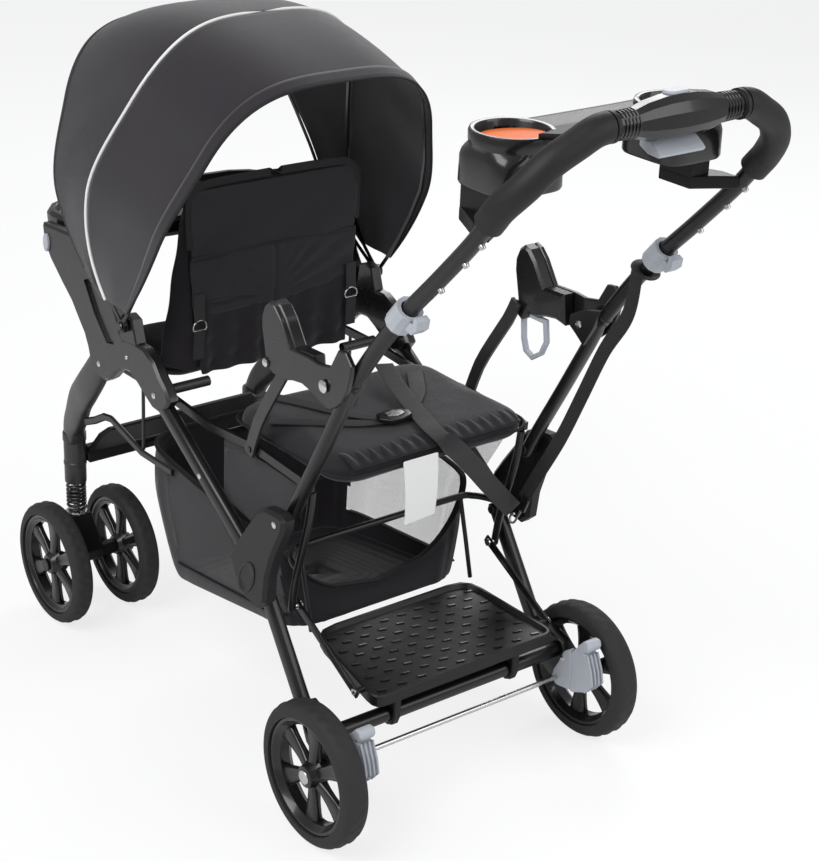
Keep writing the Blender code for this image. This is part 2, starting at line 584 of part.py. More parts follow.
BASKET_TOP_X = BASKET_LEVELS[-1][4]
BASKET_RAIL = 0.0034
rail_x = BASKET_TOP_X + GAP + BASKET_RAIL + 0.0005
rail_path = [(rail_x, -0.7195, 0.366), (rail_x, -0.690, 0.379), (rail_x, -0.660, 0.396),
             (rail_x, -0.638, 0.400), (rail_x, -0.600, 0.391), (rail_x, -0.546, 0.377),
             (rail_x, -0.456, 0.378)]
sides_made = [mirrored(sweep(rail_path, (BASKET_RAIL, 0.0065), 6, 3.0), side)
              for side in (LEFT, RIGHT)]
basket_frame = piece("basket_frame", sides_made[0], FRAME_PAINT)
join(basket_frame, sides_made[1], pin((-0.568, 0.384), -rail_x, rail_x, 0.0050, 8))
for side in (LEFT, RIGHT):
    drop_x = (RAIL_MIDDLE + rail_x) / 2
    drop = [(drop_x, -0.545, 0.382), (drop_x, -0.543, 0.4917 - GAP)]
    join(basket_frame, mirrored(sweep(drop, (0.0028, 0.0028), 6), side))
    cut(basket_frame, leg_body(side, GAP))

# Hoop behind the basket: two side tubes, a cross tube and the posts over the platform
HOOP_X, HOOP_RADIUS = 0.1900, 0.0058
HOOP_CROSS = (-0.198 + GAP + HOOP_RADIUS + 0.0005, 0.352)
side_path = [(HOOP_X, -0.106, 0.4840), (HOOP_X, -0.112, 0.440), (HOOP_X, -0.122, 0.400),
             (HOOP_X, -0.134, 0.360), (HOOP_X, -0.144, 0.320), (HOOP_X, -0.151, 0.2760)]
hoop = piece("basket_hoop", mirrored(sweep(side_path, (HOOP_RADIUS, HOOP_RADIUS), 8), LEFT),
             FRAME_PAINT)
join(hoop, mirrored(sweep(side_path, (HOOP_RADIUS, HOOP_RADIUS), 8), RIGHT))
cross_path = [(HOOP_X, -0.137, 0.350), (HOOP_X - 0.006, -0.160, 0.351), (HOOP_X - 0.022, -0.181, 0.352),
              (HOOP_X - 0.050, *HOOP_CROSS), (0.0, *HOOP_CROSS)]
cross_path = cross_path + [(-x, y, z) for x, y, z in reversed(cross_path[:-1])]
join(hoop, sweep(cross_path, (0.0052, 0.0052), 6, across=(0, 0, 1)))

PLATFORM_REAR, PLATFORM_FRONT, PLATFORM_Z, PLATFORM_SLOPE = 0.023, -0.161, 0.20405, 0.0867
POST_X, POST_Y = 0.150, -0.157


def platform_top(y):
    return PLATFORM_Z + PLATFORM_SLOPE * (PLATFORM_REAR - y)


BAR_IN, BAR_OUT = 0.1765, 0.1810
for side in (LEFT, RIGHT):
    post = [(POST_X, HOOP_CROSS[0] + 0.001, HOOP_CROSS[1]), (POST_X, -0.172, 0.285),
            (POST_X, POST_Y, platform_top(POST_Y) + PLATFORM_RIM + 0.0006)]
    join(hoop, mirrored(sweep(post, (0.0034, 0.0034), 6), side))
    bar_pin = [(HOOP_X - 0.001, PIVOT_PIN), (BAR_IN - GAP, PIVOT_PIN), (BAR_IN - GAP, HEAD_RADIUS - 0.001),
               (BAR_IN - GAP - HEAD_THICK, HEAD_RADIUS - 0.002)]
    join(hoop, mirrored(turned(bar_pin, (0.0, *BAR_PIVOT), sides=10), side))

# Footrest between the struts
FOOT_HALF = CASTER_X - SLEEVE_RADIUS - GAP
foot_bar = [(STRUT_Y - 0.009, 0.256), (STRUT_Y - 0.004, 0.284), (STRUT_Y + 0.010, 0.284),
            (STRUT_Y + 0.013, 0.256)]
footrest = piece("footrest", plate(foot_bar, "x", -FOOT_HALF, FOOT_HALF, 0.002), BLACK_PLASTIC)
foot_plate = [(-0.160, 0.276), (-0.154, 0.318), (-0.140, 0.330), (0.140, 0.330), (0.154, 0.318),
              (0.160, 0.276)]
tread = plate(foot_plate, "y", STRUT_Y + 0.004, STRUT_Y + 0.018, 0.003)
for vert in tread.verts:
    vert.co.y += (vert.co.z - 0.276) * 0.75
join(footrest, tread)


# Rear legs, with axle brackets and stub axles, turn about the hub housings
LEG_PATH_REAR = [(-0.186, 0.3265), (-0.132, 0.246), (-0.084, 0.176), (-0.045, 0.124)]
AXLE_BRACKET = [(-0.084, 0.170), (-0.062, 0.184), (-0.030, 0.172), (-0.004, 0.167), (0.006, 0.150),
                (0.014, 0.122), (0.014, 0.098), (0.002, 0.092), (-0.030, 0.101), (-0.060, 0.118)]
LEG_IN = TUBE_X - LEG_HALF_X
for side_name, side in SIDES:
    path = [(TUBE_X, y, z) for y, z in LEG_PATH_REAR]
    leg = piece(f"rear_leg_{side_name}",
                mirrored(sweep(path, (LEG_HALF_X, LEG_HALF), 8, 2.8), side), FRAME_PAINT,
                (side * TUBE_X, *LEG_PIVOT))
    stub = [(TUBE_X, AXLE_RADIUS), (REAR_X + REAR_WIDTH / 2 - 0.001 + GAP, AXLE_RADIUS),
            (REAR_X + REAR_WIDTH / 2 - 0.001 + GAP, HUB_RADIUS - 0.006),
            (REAR_X + REAR_WIDTH / 2 + 0.001, HUB_RADIUS - 0.008)]
    join(leg, plate(AXLE_BRACKET, "x", side * (LEG_IN - 0.0006), side * (TUBE_X + LEG_HALF_X - 0.0006),
                    0.002),
         mirrored(turned(stub, (0.0, 0.0, REAR_RADIUS), sides=12), side),
         mirrored(pin((0.0, REAR_RADIUS), TUBE_X, REAR_X - REAR_WIDTH / 2 + 0.001 - GAP,
                      HUB_RADIUS - 0.004, 12), side))
    cut(leg, mirrored(pin(LEG_PIVOT, TUBE_X - 0.02, TUBE_X + 0.02, PIVOT_PIN + FIT, 10), side))

BRACKET_IN = LEG_IN - 0.0006
CROSS_RADIUS = 0.0120
piece("rear_cross_tube", pin(CROSS_TUBE, -BRACKET_IN + GAP, BRACKET_IN - GAP, CROSS_RADIUS, 14),
      FRAME_PAINT, (0.0, *CROSS_TUBE))

# Platform on two lugs that turn on the cross tube
half = PLATFORM_HALF_WIDTH
rear = PLATFORM_REAR
deck = [(half, rear - 0.024), (half, rear - 0.012), (half - 0.004, rear - 0.004), (half - 0.014, rear),
        (0.0, rear),
        (-half + 0.014, rear), (-half + 0.004, rear - 0.004), (-half, rear - 0.012), (-half, rear - 0.024),
        (-half + 0.016, -0.126), (-half + 0.022, -0.145), (-half + 0.036, -0.157),
        (-half + 0.060, PLATFORM_FRONT),
        (half - 0.060, PLATFORM_FRONT), (half - 0.036, -0.157), (half - 0.022, -0.145),
        (half - 0.016, -0.126)]
rings = [placed(inset(deck, 0.006), "z", PLATFORM_Z - PLATFORM_THICK),
         placed(inset(deck, 0.001), "z", PLATFORM_Z - PLATFORM_THICK + 0.004),
         placed(inset(deck, 0.0), "z", PLATFORM_Z + PLATFORM_RIM - 0.002),
         placed(inset(deck, 0.002), "z", PLATFORM_Z + PLATFORM_RIM),
         placed(inset(deck, 0.006), "z", PLATFORM_Z + PLATFORM_RIM),
         placed(inset(deck, 0.010), "z", PLATFORM_Z)]
deck_body = skin(rings)
for vert in deck_body.verts:
    vert.co.z += PLATFORM_SLOPE * (PLATFORM_REAR - vert.co.y)
platform = piece("platform", deck_body, BLACK_PLASTIC, (0.0, *CROSS_TUBE))
lug = [(CROSS_TUBE[0] - 0.022, 0.199), (CROSS_TUBE[0] + 0.018, 0.199), (CROSS_TUBE[0] + 0.018, 0.150),
       (CROSS_TUBE[0] + 0.012, 0.136), (CROSS_TUBE[0], 0.131), (CROSS_TUBE[0] - 0.013, 0.136),
       (CROSS_TUBE[0] - 0.020, 0.150)]
for side in (LEFT, RIGHT):
    join(platform, plate(lug, "x", side * 0.104, side * 0.118, 0.002),
         mirrored(pin(BAR_END, half - 0.004, BAR_IN - GAP, 0.0045, 12), side))
cut(platform, pin(CROSS_TUBE, -0.125, 0.125, CROSS_RADIUS + FIT, 14))

for side_name, side in SIDES:
    run = Vector(BAR_END) - Vector(BAR_PIVOT)
    ahead = run.normalized()
    path = [((BAR_IN + BAR_OUT) / 2, *(Vector(BAR_PIVOT) - ahead * 0.009)),
            ((BAR_IN + BAR_OUT) / 2, *(Vector(BAR_END) + ahead * 0.007))]
    bar = piece(f"platform_link_{side_name}",
                mirrored(sweep(path, ((BAR_OUT - BAR_IN) / 2, 0.0070), 8, 5.0), side), FRAME_PAINT,
                (side * (BAR_IN + BAR_OUT) / 2, *BAR_PIVOT))
    cut(bar, mirrored(pin(BAR_PIVOT, BAR_IN - 0.01, BAR_OUT + 0.01, PIVOT_PIN + FIT, 10), side))

# Brake: one rod with a ribbed pedal at each end
PEDAL_IN, PEDAL_OUT = 0.1960, 0.2255
pedal_arm = [(-0.009, 0.106), (-0.006, 0.121), (0.004, 0.140), (0.013, 0.162), (0.027, 0.172),
             (0.032, 0.150),
             (0.032, 0.104), (0.014, 0.1005), (0.002, 0.099)]
pedal_pad = [(0.024, 0.103), (0.034, 0.100), (0.060, 0.112), (0.076, 0.130), (0.072, 0.150), (0.064, 0.176),
             (0.060, 0.197), (0.050, 0.197), (0.034, 0.183), (0.026, 0.166)]
brake = piece("brake", pin(BRAKE_ROD, -BRACKET_IN + GAP, BRACKET_IN - GAP, 0.0040, 12), CHROME,
              (0.0, *BRAKE_ROD))
for side in (LEFT, RIGHT):
    join(brake, plate(pedal_arm, "x", side * PEDAL_IN, side * (BRACKET_IN - 2 * GAP), 0.001),
         plate(pedal_pad, "x", side * (PEDAL_IN + 0.001), side * PEDAL_OUT, 0.003))


# Handle: lower flat-oval tubes, upper round tubes, collars, grips and fold console
LOWER_PATH = [(-0.122, 0.433), (-0.104, 0.470), (-0.082, 0.510), (-0.054, 0.560), (-0.030, 0.604),
              (-0.006, 0.648), (0.012, 0.684)]
UPPER_PATH = [(0.024, 0.702), (0.072, 0.766), (0.122, 0.824), (0.176, 0.879), (0.232, 0.938),
              (0.262, 0.974)]
COLLAR_YZ = (0.116, 0.817)
GRIP_PATH = [(TUBE_X, 0.2624, 0.9745), (TUBE_X, 0.2688, 0.9822), (0.2165, 0.283, 0.9995),
             (0.203, 0.305, 1.027), (0.180, 0.318, 1.054),
             (0.148, 0.325, 1.073), (0.128, HANDLE_REAR - 0.001, 1.0835),
             (CONSOLE_HALF_LENGTH + 0.013, HANDLE_REAR, HANDLE_TOP),
             (CONSOLE_HALF_LENGTH, HANDLE_REAR, HANDLE_TOP)]
BRACKET_OUT = TUBE_X - TUBE_HALF_X + 0.0016
ARMREST_IN = TUBE_X + TUBE_HALF_X + 0.0005
COLLAR_AXIS = Vector((0.0, 0.050, 0.0585)).normalized()

for side_name, side in SIDES:
    path = [(TUBE_X, y, z) for y, z in LOWER_PATH + UPPER_PATH]
    halves = [(TUBE_HALF_X, TUBE_HALF)] * len(LOWER_PATH) + [(UPPER_TUBE_RADIUS,) * 2] * len(UPPER_PATH)
    tube = piece(f"handle_tube_{side_name}", mirrored(sweep(path, halves, 8, 2.2), side), FRAME_PAINT,
                 (side * TUBE_X, *HANDLE_PIVOT))
    bracket = [(-0.031, 0.674), (-0.030, 0.690), (-0.018, 0.697), (0.004, 0.706), (0.028, 0.712),
               (0.018, 0.684),
               (0.000, 0.652), (-0.016, 0.664)]
    bolt = [(BRACKET_OUT - 0.003, 0.0050), (ARMREST_IN + ARMREST_PLATE + GAP, 0.0050),
            (ARMREST_IN + ARMREST_PLATE + GAP, HEAD_RADIUS + 0.001),
            (ARMREST_IN + ARMREST_PLATE + GAP + HEAD_THICK, HEAD_RADIUS - 0.001)]
    join(tube, plate(bracket, "x", side * (LINK_IN + 0.001), side * BRACKET_OUT, 0.001),
         mirrored(turned(bolt, (0.0, *ARMREST_PIVOT), sides=10), side))
    cut(tube, mirrored(pin(HANDLE_PIVOT, TUBE_X - 0.02, TUBE_X + 0.02, PIVOT_PIN + FIT, 10), side))

    ring = [(-COLLAR_LENGTH / 2, UPPER_TUBE_RADIUS + COLLAR_EASE), (-COLLAR_LENGTH / 2, COLLAR_RADIUS),
            (COLLAR_LENGTH / 2, COLLAR_RADIUS), (COLLAR_LENGTH / 2, UPPER_TUBE_RADIUS + COLLAR_EASE)]
    centre = (side * TUBE_X, *COLLAR_YZ)
    collar = piece(f"collar_{side_name}", turned(ring, centre, COLLAR_AXIS, 12, closed=True), GREY_PLASTIC,
                   (side * TUBE_X, *HANDLE_PIVOT))
    hook = [(COLLAR_YZ[0] + y, COLLAR_YZ[1] + z) for y, z in
            ((0.010, -0.012), (0.024, -0.016), (0.034, -0.008), (0.036, 0.004), (0.028, 0.008),
             (0.026, -0.002),
             (0.014, 0.002))]
    join(collar, plate(hook, "x", side * (TUBE_X - 0.012), side * (TUBE_X + 0.008)))
    cut(collar, turned([(-0.04, UPPER_TUBE_RADIUS + COLLAR_EASE), (0.04, UPPER_TUBE_RADIUS + COLLAR_EASE)],
                       centre,
                       COLLAR_AXIS, 12))

    grip = curve(GRIP_PATH, 2)
    halves = [(GRIP_RADIUS, GRIP_RADIUS)] * len(grip)
    halves[0] = (GRIP_RADIUS - 0.002, GRIP_RADIUS - 0.002)
    halves[-1] = halves[0]
    piece(f"grip_{side_name}", mirrored(sweep(grip, halves, 10), side), FOAM,
          (side * TUBE_X, *HANDLE_PIVOT))

half = CONSOLE_HALF_LENGTH - 2 * GAP
stations = [(1.0, 0.0155, 0.0155, 0.0), (0.84, 0.0165, 0.0165, 0.0), (0.70, 0.0170, 0.0175, 0.0),
            (0.52, 0.0200, 0.0230, 0.0), (0.25, 0.0215, 0.0270, 0.0),
            (0.0, CONSOLE_DEPTH * 1.031, 0.0280, 0.0)]
stations = stations + [(-k, a, b, dz) for k, a, b, dz in reversed(stations[:-1])]
console_path = [(-k * half, HANDLE_REAR, HANDLE_TOP + dz) for k, a, b, dz in stations]
console_halves = [(b, a) for k, a, b, dz in stations]
console = piece("handle_console", sweep(console_path, console_halves, 12, 2.3, across=(0, 0, 1)),
                BLACK_PLASTIC, (0.0, *HANDLE_PIVOT))
CONSOLE_TOP = HANDLE_TOP + 0.0280
BUTTON_SIZE, CONSOLE_TRAVEL = (0.034, 0.020), 0.004
button_outline = rounded((0.0, HANDLE_REAR - 0.004), *BUTTON_SIZE, 0.008, 3)
pocket = CONSOLE_TOP - 0.012
cut(console, plate(inset(button_outline, -FIT), "z", pocket, CONSOLE_TOP + 0.01))
piece("console_button", plate(button_outline, "z", pocket + CONSOLE_TRAVEL + GAP, CONSOLE_TOP + 0.002,
                              0.0015),
      GREY_PLASTIC, (0.0, HANDLE_REAR, CONSOLE_TOP))
TRIGGER_PIVOT = (HANDLE_REAR - 0.013, HANDLE_TOP - 0.0265)
trigger = [(TRIGGER_PIVOT[0] - 0.005, TRIGGER_PIVOT[1] + 0.007),
           (TRIGGER_PIVOT[0] + 0.002, TRIGGER_PIVOT[1] + 0.007),
           (HANDLE_REAR + 0.012, HANDLE_TOP - 0.034), (HANDLE_REAR + 0.018, HANDLE_TOP - 0.039),
           (HANDLE_REAR + 0.014, HANDLE_TOP - 0.043), (HANDLE_REAR - 0.004, HANDLE_TOP - 0.042),
           (TRIGGER_PIVOT[0] - 0.006, TRIGGER_PIVOT[1] - 0.008)]
TRIGGER_HALF = 0.0372
piece("console_trigger", plate(trigger, "x", -TRIGGER_HALF, TRIGGER_HALF, 0.0012), GREY_PLASTIC,
      (0.0, *TRIGGER_PIVOT))
cut(console, box((-TRIGGER_HALF - GAP, TRIGGER_PIVOT[0] - 0.0065, HANDLE_TOP - 0.040),
                 (TRIGGER_HALF + GAP, TRIGGER_PIVOT[0] + 0.034, TRIGGER_PIVOT[1] + 0.0085)))

# Parent tray: a sloped plate between two open cup holders, with arms to the handle tubes
tray_plate = box((-CUP_X, CUP_Y - 0.046, CUP_TOP - 0.014), (CUP_X, CUP_Y + 0.084, CUP_TOP - 0.006))
for vert in tray_plate.verts:
    vert.co.z += 0.21 * max(0.0, vert.co.y - CUP_Y)
parent_tray = piece("parent_tray", tray_plate, BLACK_PLASTIC, (0.0, *HANDLE_PIVOT))
for side in (LEFT, RIGHT):
    centre = (side * CUP_X, CUP_Y)
    shell = rounded(centre, CUP_BOX, CUP_BOX, 0.022, 2)
    join(parent_tray, plate(shell, "z", CUP_BASE, CUP_TOP - 0.020, 0.006),
         turned([(CUP_TOP - 0.030, CUP_RIM - 0.006), (CUP_TOP - 0.010, CUP_RIM), (CUP_TOP - 0.003, CUP_RIM),
                 (CUP_TOP, CUP_RIM - 0.003)], (*centre, 0.0), (0, 0, 1), 16))
    tube_face = TUBE_X - UPPER_TUBE_RADIUS * 0.93 - GAP
    riser = [(CUP_X + 0.018, CUP_Y - 0.036), (CUP_X + 0.046, CUP_Y - 0.036), (CUP_X + 0.046, CUP_Y + 0.026),
             (CUP_X + 0.018, CUP_Y + 0.020)]
    arm = [(CUP_X + 0.018, CUP_Y - 0.036), (CUP_X + 0.046, CUP_Y - 0.036), (tube_face, CUP_Y + 0.023),
           (tube_face, CUP_Y + 0.053), (CUP_X + 0.048, CUP_Y + 0.036), (CUP_X + 0.018, CUP_Y + 0.020)]
    join(parent_tray, mirrored(plate(riser, "z", CUP_BASE - 0.030, CUP_BASE + 0.003, 0.001), side),
         mirrored(plate(arm, "z", CUP_BASE - 0.044, CUP_BASE - 0.027, 0.002), side))
for side in (LEFT, RIGHT):
    cut(parent_tray, turned([(CUP_BASE + CUP_WALL, CUP_BORE), (CUP_TOP + 0.02, CUP_BORE)],
                            (side * CUP_X, CUP_Y, 0.0), (0, 0, 1), 16))

# Armrests: an outer plate past the tube, and a pad with a fin in front of it
ARMREST = [(-0.146, 0.758), (-0.156, 0.750), (-0.163, 0.734), (-0.163, 0.717), (-0.158, 0.695),
           (-0.152, 0.668),
           (-0.138, 0.659), (-0.113, 0.657), (-0.092, 0.664), (-0.071, 0.667), (-0.050, 0.663),
           (-0.036, 0.659), (-0.015, 0.652), (-0.005, 0.653), (0.017, 0.670), (0.030, 0.691),
           (0.035, 0.710), (0.038, 0.727), (0.024, 0.742), (0.008, 0.740), (-0.008, 0.712), (-0.034, 0.707),
           (-0.0555, 0.709), (-0.078, 0.708), (-0.098, 0.707), (-0.108, 0.722), (-0.120, 0.740),
           (-0.134, 0.754)]
TRIGGER_LOOP = [(-0.1465, 0.6565), (-0.150, 0.640), (-0.147, 0.612), (-0.140, 0.593), (-0.122, 0.585),
                (-0.100, 0.600),
                (-0.090, 0.622), (-0.095, 0.6565)]
LOOP_PIVOT = (-0.140, 0.652)
LOOP_IN, LOOP_OUT, LOOP_PIN = 0.2135, 0.2215, 0.0028
for side_name, side in SIDES:
    rest = piece(f"armrest_{side_name}",
                 plate(ARMREST, "x", side * ARMREST_IN, side * (ARMREST_IN + ARMREST_PLATE), 0.0015),
                 BLACK_PLASTIC, (side * TUBE_X, *ARMREST_PIVOT))
    front = [p for p in ARMREST if p[0] < -0.0495]
    join(rest, plate(front, "x", side * (TUBE_X - TUBE_HALF_X + 0.0004), side * (ARMREST_IN + 0.001),
                     0.004),
         mirrored(turned([(ARMREST_IN + 0.004, HEAD_RADIUS),
                          (ARMREST_IN + ARMREST_PLATE + 0.0015, HEAD_RADIUS),
                          (ARMREST_IN + ARMREST_PLATE + 0.0026, HEAD_RADIUS - 0.002)],
                         (0.0, *ARMREST_FRONT_BOLT), sides=10), side))
    cut(rest, mirrored(pin(ARMREST_PIVOT, ARMREST_IN - 0.01, ARMREST_IN + 0.03, 0.0050 + FIT, 10), side))

    if side < 0:
        lug = [(-0.154, 0.672), (-0.148, 0.650), (-0.140, 0.645), (-0.131, 0.650), (-0.126, 0.672)]
        loop_pin = [(LOOP_IN - 0.002, LOOP_PIN), (LOOP_OUT + GAP, LOOP_PIN),
                    (LOOP_OUT + GAP, LOOP_PIN + 0.002),
                    (LOOP_OUT + GAP + 0.0015, LOOP_PIN + 0.002)]
        join(rest, plate(lug, "x", -(TUBE_X - TUBE_HALF_X + 0.0004), -(LOOP_IN - GAP)),
             mirrored(turned(loop_pin, (0.0, *LOOP_PIVOT), sides=8), side))

loop = piece("fold_trigger", plate(TRIGGER_LOOP, "x", -LOOP_IN, -LOOP_OUT, 0.0015), GREY_PLASTIC,
             (-TUBE_X, *LOOP_PIVOT))
cut(loop, plate(inset(TRIGGER_LOOP, 0.0065), "x", -0.20, -0.23))
join(loop, plate(ellipse(LOOP_PIVOT, 0.0065, 0.0065, 10), "x", -LOOP_IN, -LOOP_OUT))
cut(loop, pin(LOOP_PIVOT, -0.20, -0.23, LOOP_PIN + FIT, 8))

# Curved links between the seat frame and the armrests
LINK_PATH = [(-0.2445, 0.491), (-0.240, 0.502), (-0.222, 0.547), (-0.196, 0.590), (-0.164, 0.638),
             (-0.147, 0.672)]
for side_name, side in SIDES:
    path = curve([((LINK_IN + LINK_OUT) / 2, y, z) for y, z in LINK_PATH], 2)
    link = piece(f"arm_link_{side_name}",
                 mirrored(sweep(path, ((LINK_OUT - LINK_IN) / 2, 0.0110), 4, 8.0), side), LEG_PAINT,
                 (side * (LINK_IN + LINK_OUT) / 2, *LINK_PIVOT))
    cut(link, mirrored(pin(LINK_PIVOT, LINK_IN - 0.01, LINK_OUT + 0.01, PIVOT_PIN + FIT, 10), side))


# Canopy: three flat bows on one pivot, and the cloth that they stretch
def bow_point(t, side, angle, bulge, half_width, height):
    """Point of an arch at a share t of its reach; it leans from +Y, narrows and bellies along y."""
    drawn = min(1.0, max(0.0, (t - 0.40) / 0.34))
    half = half_width - CANOPY_DRAW * drawn * drawn * (3 - 2 * drawn)
    x = side * half * max(0.0, 1 - t ** CANOPY_POWER) ** (1 / CANOPY_POWER)
    reach = height * t
    belly = bulge * t * (1 - t) ** 1.8 / 0.161
    lean = math.radians(angle)
    return Vector((x, CANOPY_PIVOT[0] + reach * math.cos(lean) + belly,
                   CANOPY_PIVOT[1] + reach * math.sin(lean)))


ARCH = [(t, LEFT) for t in (0.07, 0.17, 0.29, 0.42, 0.56, 0.71, 0.84, 0.93, 0.98)] + [(1.0, LEFT)]
ARCH = ARCH + [(t, RIGHT) for t, side in reversed(ARCH[:-1])]


BOWS = (("rear", REAR_BOW_ANGLE, REAR_BULGE, CANOPY_HEIGHT, 2),
        ("middle", MIDDLE_BOW_ANGLE, MIDDLE_BULGE, CANOPY_HEIGHT, 1),
        ("front", FRONT_BOW_ANGLE, FRONT_BULGE, CANOPY_FRONT_HEIGHT, 0))
BOW_FIRST_X = HOUSING_OUT + 0.0016 + BOW_THICK / 2
CLOTH_EASE = 0.0014
for bow_name, angle, bulge, height, layer in BOWS:
    half_width = BOW_FIRST_X + layer * BOW_STEP
    run = [(0.012, LEFT)] + ARCH + [(0.012, RIGHT)]
    path = [bow_point(t, side, angle, bulge, half_width, height) for t, side in run]
    lean = math.radians(angle)
    flat = (0.0, -math.sin(lean), math.cos(lean))
    bow = piece(f"canopy_bow_{bow_name}", sweep(path, (BOW_WIDTH / 2, BOW_THICK / 2), 4, 6.0, across=flat),
                FRAME_PAINT, (0.0, *CANOPY_PIVOT))
    for side in (LEFT, RIGHT):
        join(bow, plate(ellipse(CANOPY_PIVOT, 0.0105, 0.0105, 10), "x", side * (half_width - BOW_THICK / 2),
                        side * (half_width + BOW_THICK / 2)))
        cut(bow, mirrored(pin(CANOPY_PIVOT, half_width - 0.01, half_width + 0.01, PIVOT_PIN + FIT, 10),
                          side))

OUTER_BOW_X = BOW_FIRST_X + 2 * BOW_STEP + BOW_THICK / 2


def canopy_row(angle, lift):
    """One row of the cloth, at an angle between the bows, lift outside their outer faces."""
    if angle < MIDDLE_BOW_ANGLE:
        k = (angle - REAR_BOW_ANGLE) / (MIDDLE_BOW_ANGLE - REAR_BOW_ANGLE)
        bulge, height = REAR_BULGE + (MIDDLE_BULGE - REAR_BULGE) * k, CANOPY_HEIGHT
    else:
        k = (angle - MIDDLE_BOW_ANGLE) / (FRONT_BOW_ANGLE - MIDDLE_BOW_ANGLE)
        bulge = MIDDLE_BULGE + (FRONT_BULGE - MIDDLE_BULGE) * k
        height = CANOPY_HEIGHT + (CANOPY_FRONT_HEIGHT - CANOPY_HEIGHT) * k
    return [bow_point(t, side, angle, bulge, OUTER_BOW_X + CLOTH_EASE + lift,
                      height + BOW_THICK / 2 + CLOTH_EASE + lift) for t, side in ARCH]


CLOTH_LAP = 1.5
cloth_low, cloth_high = REAR_BOW_ANGLE - CLOTH_LAP, FRONT_BOW_ANGLE + CLOTH_LAP
angles = [cloth_low + (MIDDLE_BOW_ANGLE - cloth_low) * k / 4 for k in range(4)]
angles = angles + [MIDDLE_BOW_ANGLE + (cloth_high - MIDDLE_BOW_ANGLE) * k / 4 for k in range(5)]
cloth_out = [canopy_row(angle, GAP + FABRIC_THICK) for angle in angles]
cloth_in = [canopy_row(angle, GAP) for angle in angles]
cloth = bmesh.new()
sheets = []
for rows in (cloth_out, cloth_in):
    sheets.append([[cloth.verts.new(point) for point in row] for row in rows])
for sheet in sheets:
    for low, high in zip(sheet, sheet[1:]):
        for i in range(len(low) - 1):
            cloth.faces.new((low[i], low[i + 1], high[i + 1], high[i]))
outside, inside = sheets
for k in (0, -1):
    for i in range(len(outside[k]) - 1):
        cloth.faces.new((outside[k][i], outside[k][i + 1], inside[k][i + 1], inside[k][i]))
for low_out, high_out, low_in, high_in in zip(outside, outside[1:], inside, inside[1:]):
    for k in (0, -1):
        cloth.faces.new((low_out[k], high_out[k], high_in[k], low_in[k]))
bmesh.ops.recalc_face_normals(cloth, faces=cloth.faces)
piece("canopy_fabric", cloth, CLOTH, (0.0, *CANOPY_PIVOT))

# Child tray: it swings forward about its right front corner
TRAY_FREE_END = [(TRAY_HALF_WIDTH, TRAY_HINGE_Y), (TRAY_HALF_WIDTH - 0.0035, -0.740),
                 (TRAY_HALF_WIDTH - 0.0125, -0.690), (TRAY_HALF_WIDTH - 0.018, -0.682)]
TRAY_BACK = [(TRAY_HALF_WIDTH - 0.060, -0.679), (0.060, -0.668), (0.0, -0.666), (-0.060, -0.668),
             (0.060 - TRAY_HALF_WIDTH, -0.679)]
TRAY_HINGE_END = [(0.012 - TRAY_HALF_WIDTH, -0.682), (-HOUSING_IN + GAP, -0.694),
                  (-HOUSING_IN + GAP, TRAY_HINGE_Y)]
TRAY_FRONT = [(TRAY_HALF_WIDTH - 0.004, -0.812), (0.190, -0.834), (0.155, -0.850), (0.090, -0.855),
              (0.0, -0.857)]
tray_outline = (TRAY_FREE_END + TRAY_BACK + TRAY_HINGE_END + [(-x, y) for x, y in TRAY_FRONT]
                + list(reversed(TRAY_FRONT[:-1])))
rings = [placed(inset(tray_outline, 0.010), "z", TRAY_BASE),
         placed(inset(tray_outline, 0.001), "z", TRAY_BASE + 0.010),
         placed(inset(tray_outline, 0.0), "z", TRAY_TOP - 0.006),
         placed(inset(tray_outline, 0.004), "z", TRAY_TOP),
         placed(inset(tray_outline, 0.012), "z", TRAY_TOP),
         placed(inset(tray_outline, 0.018), "z", TRAY_TOP - 0.010)]
child_tray = piece("child_tray", skin(rings), BLACK_PLASTIC, (-TRAY_HALF_WIDTH, TRAY_HINGE_Y, TRAY_BASE))
for side in (LEFT, RIGHT):
    slot = rounded((side * 0.125, -0.812), 0.086, 0.020, 0.009, 2)
    cut(child_tray, plate(slot, "z", TRAY_BASE - 0.01, TRAY_TOP + 0.01))
cut(child_tray, turned([(TRAY_BASE + 0.008, 0.036), (TRAY_TOP + 0.01, 0.038)], (0.0, -0.765, 0.0),
                       (0, 0, 1), 12))

# Tether strap hanging from the right handle tube to its hook
STRAP = [(-0.2058, -0.0397, 0.587), (-0.2058, -0.0510, 0.5655), (-0.2035, -0.050, 0.535),
         (-0.196, -0.062, 0.480),
         (-0.190, -0.078, 0.415), (-0.189, -0.088, 0.360)]
strap_body = sweep(curve(STRAP, 3), (0.0010, 0.0095), 6, 5.0)
piece("tether_strap", strap_body, CLOTH, (-TUBE_X, *HANDLE_PIVOT))
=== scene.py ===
import math

import bmesh
import bpy
import numpy as np
from mathutils import Matrix, Vector


